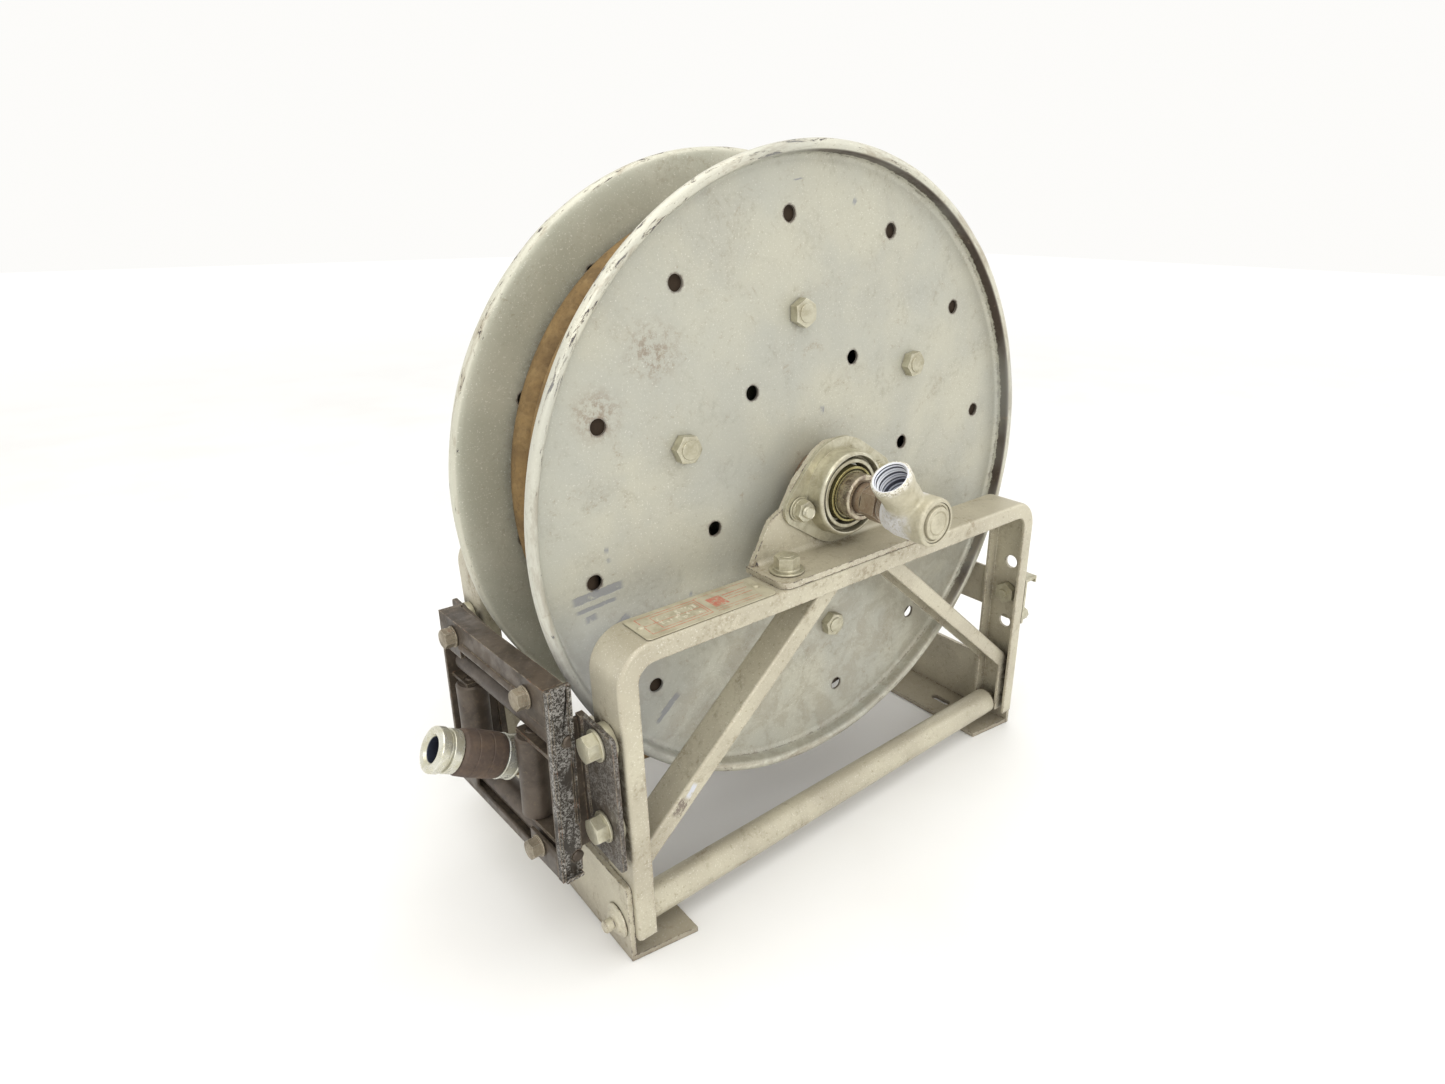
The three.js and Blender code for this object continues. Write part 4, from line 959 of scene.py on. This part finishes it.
def side_frame(end):
    corner = 28
    path = rounded([
        (-FRAME_X, FRAME_FOOT), (-FRAME_X, FRAME_TOP, corner), (FRAME_X, FRAME_TOP, corner),
        (FRAME_X, FRAME_FOOT),
    ], closed=False, fine=14)
    bar = sweep(c_section(*span(end, -66.8, -26.5), 15, 3, 3.2), path)
    hole_y = depth(end, LEG_BOLT_Y)
    holes = together(*[along_x((0, hole_y, z), 6.7) for z in LEG_HOLES])
    stand_in(f"side_frame_{end}", cut(bar, holes), bevel=0)


def brace(end, side, sign):
    leg = FRAME_X - 3.3

    def ridge(x):
        return 238 - 0.888 * (x - 52)

    path = [(-leg, FRAME_FOOT + 2), (-leg, ridge(leg), 18), (0, ridge(0))]
    if sign > 0:
        path = [(-p[0], *p[1:]) for p in reversed(path)]
    bar = sweep(c_section(*span(end, -58.5, -30), 14.5, 3, 3), rounded(path, closed=False, fine=10))
    bar = sliced(bar, (0, 0, FRAME_TOP - 3.3), UP)
    stand_in(f"brace_{end}_{side}", sliced(bar, (0, 0, 0), ACROSS * -sign))


for end in ENDS:
    side_frame(end)
    for side, sign in SIDES:
        brace(end, side, sign)

for side, sign in SIDES:
    copied(f"foot_{side}", bevel=0.9)
copied("cross_strap")


def tie_rod(end):
    """A spacer tube on a stud, with a domed washer and a round nut outside each foot."""
    foot = FRAME_X + 4.6
    half = [
        (0, 0), (13, 0), (13, 210.4), (11.6, 211.8, 1), (4.8, 212), (4.8, foot), (13.5, foot, 0.6),
        (13.5, foot + 1.6, 1), (9.6, foot + 2.8, 2), (8.6, foot + 4.6, 1.2), (4.8, foot + 5),
        (4.8, foot + 11), (3.8, foot + 12), (0, foot + 12),
    ]
    outline = rounded(half, closed=False, fine=4)
    whole = [Vector((p.x, -p.y)) for p in reversed(outline[1:])] + outline[1:]
    spacer = lathe(whole, 64, closed=False)
    stand_in(f"tie_rod_{end}", placed(spacer, (0, depth(end, -44.5), 28.5), ACROSS))


for end in ENDS:
    tie_rod(end)

# ---- bearings
TILT = math.radians(8)
FLANGE_BOLTS = 44.4
BASE_BOLT_X = 72


def flange_bolt_at(sign):
    x, z = on_circle(sign * FLANGE_BOLTS, TILT)
    return x, AXLE_Z + z


def bracket(end):
    """A bent bracket: an upright with a stepped outline on a base that bolts to the top bar."""
    half = [
        (88, FRAME_TOP + 0.3), (88, 266, 3), (70, 298, 6), (58, 304, 6), (46, 324, 10), (26, 343, 16),
        (14, 350.5, 20),
    ]
    face = rounded(half + [(-x, z, *r) for x, z, *r in reversed(half)], fine=8)
    low, high = span(end, -25, -20.5)
    upright = facing_y(prism(face, low, high))
    front, back = span(end, -66, -20.5)
    lead, trail = (9, 0.5) if end == "near" else (0.5, 9)
    corners = [(-91, front, lead), (91, front, lead), (91, back, trail), (-91, back, trail)]
    base = prism(rounded(corners, fine=6), FRAME_TOP + 0.3, FRAME_TOP + 4.8)
    side = -1 if end == "near" else 1
    inner = depth(end, -25)
    fillet = [(inner - side * 0.5, 264.3)]
    for k in range(7):
        angle = math.pi / 2 * k / 6
        fillet.append((inner + side * 5 * (1 - math.sin(angle)), 264.8 + 5 * (1 - math.cos(angle))))
    points, faces = prism(fillet, -84, 84)
    bend = [Vector((p.z, p.x, p.y)) for p in points], faces
    bore = placed(rod(29.5, -30, 30), (0, depth(end, -25), AXLE_Z), BEHIND)
    stand_in(f"bearing_bracket_{end}", cut(union(upright, base, bend), bore), bevel=0.9)


def housing(end):
    """The pressed two-bolt flange and its dish."""
    lean = math.acos((43.4 - 14) / FLANGE_BOLTS)
    tip, crown = 43.4 / math.cos(lean), 43.4 / math.sin(lean)
    rhomb = rounded([(tip, 0, 14), (0, crown, 43.4), (-tip, 0, 14), (0, -crown, 43.4)], fine=20)
    c, s = on_circle(1, TILT)
    outline = [Vector((p.x * c - p.y * s, AXLE_Z + p.x * s + p.y * c)) for p in rhomb]
    low, high = span(end, -28.5, -25.3)
    flange = facing_y(prism(outline, low, high))
    opened = cut(flange, placed(rod(30, -30, 30, 72), (0, depth(end, -27), AXLE_Z), BEHIND))
    profile = rounded([
        (25, 28.4), (25, 41.5, 0.6), (28, 41.5, 0.8), (28.4, 36, 1), (31, 36, 0.8), (31.2, 43.5, 0.9),
        (34.5, 43.5, 3), (34.8, 33, 8), (35.6, 28.5, 0.4), (35.6, 26), (33, 25.3), (28, 25.3),
    ], fine=6)
    dish = on_axle(lathe(profile, 96), end)
    stand_in(f"bearing_housing_{end}", union(opened, dish), bevel=0.6)


def bearing_rings(end):
    """The inner ring with its seal, and the locking collar with a set screw."""
    ring = lathe(rounded([
        (12.9, 22), (22.5, 22, 0.4), (22.5, 43, 0.6), (20.6, 43, 0.4), (20.2, 41.4, 0.3), (19.4, 41.4),
        (19.2, 42.6, 0.3), (16.5, 43, 0.3), (16.3, 42), (12.9, 42),
    ], fine=4), 80)
    collar = lathe(rounded([
        (12.9, 41.8), (18.5, 41.8), (18.5, 54.6, 1.2), (17.2, 56, 0.8), (14.4, 56, 0.4), (14.2, 54.6),
        (12.9, 54.4),
    ], fine=5), 72)
    screw = placed(rod(2.6, 0, 5, 20), (0, 15.5, 49), BEHIND)
    whole = on_axle(union(ring, cut(collar, screw)), end, spin=40)
    stand_in(f"bearing_ring_{end}", whole, "bearing_steel")


for end in ENDS:
    bracket(end)
    housing(end)
    bearing_rings(end)
    for side, sign in SIDES:
        x, z = flange_bolt_at(sign)
        lying = fastener((x, depth(end, -28.8), z), outward(end), [
            ("washer", 10, 0, 1.4), ("spring", 8.6, 1.3, 3.0), ("hex", 15, 2.9, 9.4),
            ("thread", 4.8, 0, 13),
        ], spin=11 if sign < 0 else 37)
        nut = [("hex", 15, 0, 5.5), ("thread", 4.8, -3, 6.4)]
        behind = fastener((x, depth(end, -20.2), z), -outward(end), nut)
        x, y = BASE_BOLT_X * sign, depth(end, -46.5)
        standing = fastener((x, y, FRAME_TOP + 5.1), UP, [
            ("washer", 13.5, 0, 1.6), ("washer", 10.6, 1.5, 3.6), ("hex", 17, 3.5, 12.3),
            ("washer", 5.2, 11.5, 12.9),
        ], spin=14)
        below = fastener((x, y, FRAME_TOP - 3.3), -UP, [("hex", 17, 0, 9), ("thread", 4.8, -8, 12)])
        if end == "near":
            stand_in(f"housing_bolt_near_{side}", together(lying, behind))
            stand_in(f"bracket_bolt_near_{side}", together(standing, below))
        else:
            show(f"housing_bolt_far_{side}", together(lying, behind), "frame", "zinc_plate")
            show(f"bracket_bolt_far_{side}", together(standing, below), "frame", "zinc_plate")

# ---- drum
BEAD_R = 4.2
TIE_ANGLES = [math.radians(38.1 + 60 * i) for i in range(6)]


def hole_places():
    places = []
    for count, radius, first in HOLE_RINGS:
        places += [on_circle(radius, math.radians(first + 360 / count * i)) for i in range(count)]
    return places


def wavy(p, size, seed):
    return noise.noise(Vector((p.x / size, p.y / size, seed)))


def disc(end):
    """A pressed disc: a slightly wavy sheet, a lip and a rolled bead."""
    lip = 14.0 if end == "near" else 9.0
    flat = [(r, 0) for r in range(19, 236, 7)]
    rise = rounded([(236, 0), (246.2, 0, 5), (246.6, lip - BEAD_R)], closed=False, fine=5)[1:]
    centre = DISC_R - BEAD_R
    bead = []
    for k in range(19 if end == "near" else 13):
        angle = math.radians(180 - 15 * k)
        bead.append((centre + BEAD_R * math.cos(angle), lip - BEAD_R + BEAD_R * math.sin(angle)))
    if end == "near":
        under = [(248.4, 5.0), (247.0, -0.2), (244.5, -1.6), (241, -DISC_T)]
    else:
        under = [(254.9, 2.6), (254.0, 0.8), (251.8, -0.6), (248, -1.5), (241, -DISC_T)]
    back = [(r, -DISC_T) for r in range(235, 18, -8)]
    sheet = lathe(flat + rise + bead + under + back, 240)

    def warped(p):
        radius = math.hypot(p.x, p.y)
        inside = max(0.0, min(1.0, (radius - 30) / 40)) * max(0.0, min(1.0, (244 - radius) / 30))
        seed = 3 if end == "near" else 8
        wave = wavy(p, 95, seed) + 0.5 * wavy(p, 38, seed + 5)
        rim = max(0.0, (radius - 240) / 15) * wavy(p, 46, seed + 9)
        shrink = 1 - rim * 0.0022
        return Vector((p.x * shrink, p.y * shrink, p.z + 0.55 * inside * wave - 0.5 * rim))

    sheet = [warped(p) for p in sheet[0]], sheet[1]
    punch = rod(HOLE_R, -9, 9, 32)
    turn = 1 if end == "near" else -1
    tools = together(*[placed(punch, (x, turn * z, 0)) for x, z in hole_places()])
    face = 0 if end == "near" else DISC_GAP + 2 * DISC_T
    points, faces = cut(sheet, tools)
    points = [Vector((p.x, face - turn * p.z, AXLE_Z + turn * p.y)) for p in points]
    stand_in(f"disc_{end}", (points, faces), f"disc_{end}", crease=40)


for end in ENDS:
    disc(end)

for i, angle in enumerate(TIE_ANGLES):
    x, z = on_circle(TIE_CIRCLE, angle)
    z += AXLE_Z
    top = [("hex", 19, 0, 8.2), ("washer", 7.0, 7.6, 9.2)]
    head = fastener((x, -0.3, z), outward("near"), top, spin=8 + 23 * i)
    shank = placed(rod(5.8, 0, 111, 32), (x, 0.2, z), BEHIND)
    nut = fastener((x, CASE_Y, z), BEHIND, [("hex", 19, 0, 9), ("thread", 5.8, -2, 14)], spin=31 * i)
    stand_in(f"tie_bolt_{i + 1}", together(head, shank, nut))

copied("drum_barrel", bevel=0)
stand_in("axle", union(
    on_axle(lathe(rounded([
        (8, 62), (12.6, 62), (12.6, 20), (25.6, 20, 0.8), (27, 17, 1), (27, 0.3), (18.6, 0.3),
        (18.6, -2.3), (27, -2.3), (27, -9), (18.6, -9), (18.6, -103), (27, -103), (27, -109.7),
        (18.6, -109.7), (18.6, -113), (12.6, -113), (12.6, -195, 1), (8, -196),
    ], fine=4), 72)),
    placed(rod(10, 10.6, 160.5, 40), (0, 22, AXLE_Z), slanting(68)),
), bevel=0)

nipple_thread = [(8, 62.3), (11.8, 62.3)]
for k in range(23):
    nipple_thread += [(11.8, 63.5 + 1.5 * k), (10.8, 64.25 + 1.5 * k)]
nipple_thread += [(11.6, 98.5), (10.6, 99), (8, 99)]
nipple = on_axle(lathe(nipple_thread, 40))
collar_hex = cut(
    on_axle(hexagon(26, 14.4, 1.2), y=-63.4, spin=20),
    on_axle(rod(9, 50, 90, 40)),
)
stand_in("inlet_nipple", union(collar_hex, nipple), bevel=0)

# ---- rewind spring, ratchet and pawl
case = rounded([
    (221, 0), (221, 18, 3.5), (123, 18, 3), (121, 22, 2), (121, 36.7, 4.5), (98, 36.7, 2), (94, 35.2, 2),
    (66, 35.2, 2), (62, 36.7, 2), (26, 36.7, 0.6), (26, 33.0), (116, 33.0), (119, 30), (119, 16),
    (217, 16), (219, 14), (219, 0),
], fine=6)
stand_in("spring_case", placed(lathe(case, 160), (0, CASE_Y, AXLE_Z), BEHIND))
for node in ("rewind_spring", "spring_arbor"):
    copied(node, bevel=0.2)
copied("ratchet_wheel", bevel=0.5)
copied("pawl", bevel=0.5)

# ---- swivel elbow
PORT_SKIN = 12  # the casting is rough only this far from its own lines and beyond


def elbow():
    """A cast tee: a body about the axle and a threaded port, blended as a casting is."""
    core = on_axle(lathe(rounded([
        (0, 86), (16.6, 86, 1), (17, 90), (18.5, 97, 3), (18.5, 128, 1.2), (0, 128),
    ], closed=False, fine=4), 96, closed=False))
    neck = [(0, 0), (14.9, 0), (14.4, 30), (15.6, 35), (15.6, 43.6), (15, 44), (0, 44)]
    cast, shapes = worked(
        union(core, placed(lathe(neck, 80, closed=False), PORT_ROOT, PORT_WAY)),
        ("REMESH", {"mode": "VOXEL", "voxel_size": 0.9}),
        ("SMOOTH", {"factor": 0.6, "iterations": 9}),
    )
    rough = []
    for p in cast:
        lump = noise.noise(p / 7) * 0.25 + noise.noise(p / 2.4) * 0.16
        along = (p - PORT_ROOT).dot(PORT_WAY)
        away = p - (Vector((0, p.y, AXLE_Z)) if along < 20 else PORT_ROOT + PORT_WAY * along)
        rough.append(p + (away.normalized() * lump if away.length > PORT_SKIN else Vector()))
    grooves = [(0, 20), (10.4, 20), (10.4, 26)]
    for k in range(9):
        grooves += [(12.0, 26.4 + 1.9 * k), (13.5, 27.4 + 1.9 * k)]
    port = lathe(grooves + [(12.6, 43.2), (14.2, 45), (14.2, 50), (0, 50)], 72, closed=False)
    bores = together(rod(12.1, 80, 112), rod(15.5, 124, 136))
    return cut((rough, shapes), placed(port, PORT_ROOT, PORT_WAY), on_axle(bores))


stand_in("swivel_body", elbow(), crease=50)
cap = rounded([
    (0, 124.3), (15.2, 124.3), (15.2, 127.2, 0.5), (13.6, 127.2, 0.3), (13.2, 126.2, 0.3),
    (12.5, 126.2, 0.3), (12.1, 129.3, 0.8), (9.4, 129.3, 0.4), (9.0, 128.5, 0.3), (8.4, 128.5, 0.3),
    (7.9, 129.4, 0.6), (0, 129.5),
], closed=False, fine=4)
stand_in("swivel_cap", on_axle(lathe(cap, 80, closed=False)))

# ---- nameplate and clip
label_corners = [(-205, -65, 3), (-97, -65, 3), (-97, -31, 3), (-205, -31, 3)]
label_z = FRAME_TOP + 0.3
rivet = rounded([(0, 0), (2.6, 0), (2.5, 1.3, 1.1), (0, 1.9)], closed=False, fine=4)
rivet = lathe(rivet, 28, closed=False)
label = union(
    prism(rounded(label_corners, fine=6), label_z, label_z + 0.8),
    placed(rivet, (-200, -48, label_z + 0.5)), placed(rivet, (-102.5, -47, label_z + 0.5)),
)
stand_in("nameplate", label, bevel=0.15)
copied("hose_clip", bevel=0.7)

# ---- hose guide
GUIDE_PIVOT = Vector((-265.3, -30, 152.5))
GUIDE_TURN = Matrix.Rotation(math.radians(3.4), 3, "Z") @ Matrix.Rotation(math.radians(2), 3, "Y")


def in_guide(point):
    return GUIDE_TURN @ (Vector(point) - GUIDE_PIVOT) + GUIDE_PIVOT


def roller(node, radius, ends, pin):
    """A roller with rounded ends and a shallow worn waist, turning on its pin."""
    joint = JOINTS[f"{node}_spin"]
    middle = (Vector(joint["pos_m"]) - ORIGIN) / MM
    half = (ends[1] - ends[0]) / 2
    side = [
        (0, half + pin), (3.5, half + pin, 0.5), (4.5, half + pin - 0.8), (4.5, half),
        (radius - 1.5, half, 0.5), (radius, half - 1.6, 0.8), (radius - 0.25, half * 0.55),
        (radius - 0.4, 0),
    ]
    outline = rounded(side, closed=False, fine=3)
    whole = outline + [Vector((p.x, -p.y)) for p in reversed(outline[:-1])]
    stand_in(node, placed(lathe(whole, 56, closed=False), middle, joint["axis"]))


for end in ENDS:
    roller(f"roller_upright_{end}", 12, (104, 171), 3.4)
for level in ("upper", "lower"):
    roller(f"roller_{level}", 10, (-22, 125), 9.5)
for node in ("guide_bottom", "guide_end_far"):
    copied(node, bevel=1.0)
for end in ENDS:
    copied(f"guide_ear_{end}", "black_grey", bevel=1.0)


def guide_block(low, high):
    points, faces = block(low, high)
    return [in_guide(p) for p in points], faces


def guide_top():
    """The top plate with a folded rib along the lower edge of its lip."""
    outline = rounded([(0, 0), (2.6, 0, 1.2), (2.6, 92, 1.2), (0, 92)], closed=False)
    points, faces = placed(lathe(outline, 20, closed=False), (-265.6, 5, 211.5), BEHIND)
    rib = [in_guide(p) for p in points], faces
    stand_in("guide_top", union(node_part("guide_top"), rib), bevel=0.7)


def guide_end_near():
    """The near end, folded along its front and back edges, with a tab at the foot."""
    front = guide_block((-265.3, -33.2, 76), (-262.6, -29.5, 229))
    back = guide_block((-250.2, -32.2, 118), (-247.8, -29.5, 229))
    tab = guide_block((-263.5, -36, 76.2), (-250, -29.5, 78.6))
    whole = union(node_part("guide_end_near"), front, back, tab)
    stand_in("guide_end_near", whole, "black_crackle", bevel=0.7)


guide_top()
guide_end_near()

for end in ENDS:
    y = depth(end, LEG_BOLT_Y)
    for height, z in (("lower", LEG_HOLES[0]), ("upper", LEG_HOLES[2])):
        head = fastener((-239.3, y, z), -ACROSS, [("washer", 11.6, 0, 2), ("hex", 17.6, 1.9, 10.6)], spin=9)
        inner = fastener((-226.7, y, z), ACROSS, [("hex", 19, 0, 7.4), ("thread", 4.8, -10, 9)])
        spacer = placed(washer(13.5, 4.9), (-235.2, y, z), ACROSS)
        stand_in(f"guide_bolt_{end}_{height}", together(head, spacer, inner))

for name, y, z in (("near_top", -3, 214), ("far_top", 108, 216), ("near_bottom", -3, 91)):
    head = [("washer", 8.4, 0, 1.4), ("hex", 13.5, 1.3, 8.8)]
    bolt = fastener(in_guide((-265.7, y, z)), GUIDE_TURN @ -ACROSS, head, spin=20)
    show(f"guide_corner_bolt_{name}", bolt, "frame", "zinc_plate", "grimy_zinc")

# ---- hose
HOSE_R = 13.25
LEAD_POINTS = [
    (0, 15.9, 105), (-20, 16.3, 105), (-40, 17.5, 105), (-60, 19.7, 105), (-80, 22.5, 105),
    (-100, 25.7, 105), (-120, 29, 105), (-150, 34.5, 105), (-175, 39, 105.5), (-190, 41.5, 107.5),
    (-205, 43.6, 110.8), (-220, 45.2, 115.4), (-232.5, 46.2, 120.4), (-246, 46.8, 126.8),
    (-259.4, 47, 134.3), (-272, 47, 141.9), (-284.8, 47, 149.6),
]


def hose(name, points, body, stands_for):
    data = bpy.data.curves.new(name, "CURVE")
    data.dimensions = "3D"
    data.bevel_depth, data.bevel_resolution = HOSE_R * MM, 6
    data.resolution_u, data.use_fill_caps = 3, True
    line = data.splines.new("NURBS")
    line.points.add(len(points) - 1)
    for spot, point in zip(line.points, points):
        spot.co = (*world(point), 1)
    line.use_endpoint_u, line.order_u = True, 4
    obj = bpy.data.objects.new(name, data)
    bpy.context.scene.collection.objects.link(obj)
    data.materials.append(MATERIALS["hose_rubber"])
    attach(obj, body)
    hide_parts(stands_for)
    return obj


def smooth(t):
    t = max(0.0, min(1.0, t))
    return t * t * (3 - 2 * t)


INNER_R, OUTER_R = 177.1, 203.7
ROWS = (15.9, 42.6, 69.3, 96.0)
STEP_FROM, STEP_OVER, CLIMB = -45.0, 90.0, 80.0
# How far the last whole turn stands off the others, by the angle since it began.
SLACK = ((0, 0), (60, 5), (120, 9), (175, -4), (235, 2), (290, 9), (335, 9), (360, 0))
WIND_STEP = 10.0
RISER_ARC, RISER_DIP, RISER_SHIFT = 24, 13, 6  # where the hose leaves the axle's riser


def winding():
    """The hose from the riser's end to the bottom of the drum, clockwise as seen from the near side. The
    inner layer runs from the near disc to the far one and the outer layer back again, and the hose steps
    across by its own width once a turn, low on the drum."""
    turns = [(y, INNER_R) for y in ROWS] + [(y, OUTER_R) for y in reversed(ROWS)]
    start, stop = 62.0, -90.0
    last = stop - 360 * (len(turns) - 1)
    smaller = 3 / (2 + math.cos(math.radians(WIND_STEP)))
    points, angle = [], start
    while angle > last + 1e-6:
        turned = STEP_FROM - angle
        index = max(0, math.ceil(turned / 360))
        if index < len(turns):
            across = smooth((turned % 360) / STEP_OVER) if turned > 0 else 1.0
            row, before = turns[index][0], turns[max(index - 1, 0)][0]
            y = before + (row - before) * across
        else:
            y = turns[-1][0]
        inner_turns = 360 * (len(ROWS) - 1)
        r = INNER_R + (OUTER_R - INNER_R) * smooth((turned - inner_turns + CLIMB) / CLIMB)
        loose = turned - 360 * (len(turns) - 2)
        for (a0, slack0), (a1, slack1) in zip(SLACK, SLACK[1:]):
            if a0 <= loose < a1:
                r += slack0 + (slack1 - slack0) * smooth((loose - a0) / (a1 - a0))
        rising = smooth((angle - start + RISER_ARC) / RISER_ARC)
        r -= RISER_DIP * rising
        y += RISER_SHIFT * rising
        x, z = on_circle(r * smaller, math.radians(angle))
        points.append((x, y, AXLE_Z + z))
        angle -= WIND_STEP
    x, z = on_circle(OUTER_R, math.radians(stop))
    return points + [(x, ROWS[0], AXLE_Z + z)]


def length_of(obj):
    """The length of a curve's own line, in metres."""
    plain = obj.copy()
    plain.data = obj.data.copy()
    plain.data.bevel_depth = 0
    bpy.context.scene.collection.objects.link(plain)
    mesh = settled(plain)
    ends = [[mesh.vertices[i].co for i in edge.vertices] for edge in mesh.edges]
    total = sum((b - a).length for a, b in ends)
    data = plain.data
    bpy.data.objects.remove(plain)
    bpy.data.curves.remove(data)
    bpy.data.meshes.remove(mesh)
    return total


def on_hose(profile, segments=72):
    return placed(lathe(rounded(profile, fine=4), segments), HOSE_END, HOSE_WAY)


wound = hose("hose_winding", winding(), "drum", "hose_pack")
lead = hose("hose_free_end", LEAD_POINTS, "frame", "hose_lead")
clamp = stand_in("hose_clamp", on_hose([
    (13.8, 4), (16.9, 4, 0.6), (16.9, 5.6, 0.4), (16.3, 6.2, 0.4), (16.3, 13.4, 0.4), (16.9, 14, 0.4),
    (16.9, 15.6, 0.6), (13.8, 15.6),
]), "clean_zinc")
sleeve = stand_in("hose_sleeve", on_hose([
    (13.8, 16), (16.4, 16, 0.6), (17.1, 20, 3), (17.2, 27.4), (16.7, 28, 0.3), (17.2, 28.6),
    (17.2, 38.4), (16.7, 39, 0.3), (17.1, 39.6), (16.6, 47, 2), (15.2, 49.5, 1), (13.8, 49.5),
]))
coupling = stand_in("hose_coupling", on_hose([
    (8.5, 30.2), (13.4, 30.2), (13.4, 50), (15.8, 50, 0.6), (15.8, 57, 0.8), (13.8, 57.6, 0.3),
    (13.8, 59.8, 0.3), (16.4, 60.3, 0.6), (16.4, 66.2, 1.6), (13.6, 67.5, 0.8), (10.6, 66.9, 0.5),
    (8.9, 64.8, 0.5), (8.5, 61),
]), "coupling_zinc")
tuple(world(winding()[0]))
round(length_of(wound), 2)
round(length_of(lead), 2)

# ---- floor and light
BACKGROUND = (1.0, 0.992, 0.972, 1)


def make_floor():
    """A white floor that turns into the bright background far from the reel."""
    half, low = 9.0, -0.0004
    mesh = bpy.data.meshes.new("floor")
    corners = ((-half, -half), (half, -half), (half, half), (-half, half))
    mesh.from_pydata([(x, y, low) for x, y in corners], [], [range(4)])
    floor = bpy.data.objects.new("floor", mesh)
    bpy.context.scene.collection.objects.link(floor)
    g = Graph("floor_white")
    away = g.vector("LENGTH", g.vector("MULTIPLY", g.place, (1, 1, 0)))
    glow = g.ramp(away, 1100, 4200)
    g.put(g.mix(glow, (0, 0, 0, 1), BACKGROUND), g.shader.inputs["Emission Color"])
    g.shader.inputs["Emission Strength"].default_value = 0.97
    g.colour = g.mix(g.patches(0.4, 0.7, 240, 3, 0.5), (0.86, 0.86, 0.85, 1), (0.82, 0.815, 0.8, 1))
    g.colour = g.mix(glow, g.colour, (0.02, 0.02, 0.02, 1))
    mesh.materials.append(g.done(g.blend(glow, 0.55, 1.0)))


def area_light(name, at, towards, size, power, colour):
    data = bpy.data.lights.new(name, "AREA")
    data.shape, data.size, data.size_y = "RECTANGLE", size[0], size[1]
    data.energy, data.color = power, colour
    light = bpy.data.objects.new(name, data)
    light.location = at
    light.rotation_mode = "QUATERNION"
    light.rotation_quaternion = (Vector(towards) - Vector(at)).to_track_quat("-Z", "Y")
    bpy.context.scene.collection.objects.link(light)


make_floor()
area_light("overhead", (-0.3, -0.2, 2.6), (0, 0, 0.2), (2.4, 2.4), 30, (1.0, 0.985, 0.95))
area_light("camera_side", (-1.0, -3.0, 1.9), (0, 0, 0.25), (1.8, 1.4), 33, (1.0, 0.985, 0.955))
area_light("right_side", (2.6, -1.2, 1.6), (0, 0, 0.3), (1.6, 1.4), 8, (0.97, 0.985, 1.0))
world_light = bpy.data.worlds.new("studio")
bpy.context.scene.world = world_light
world_light.use_nodes = True
background = world_light.node_tree.nodes["Background"]
background.inputs["Color"].default_value = BACKGROUND
background.inputs["Strength"].default_value = 0.98
bpy.context.scene.view_settings.view_transform = "Standard"
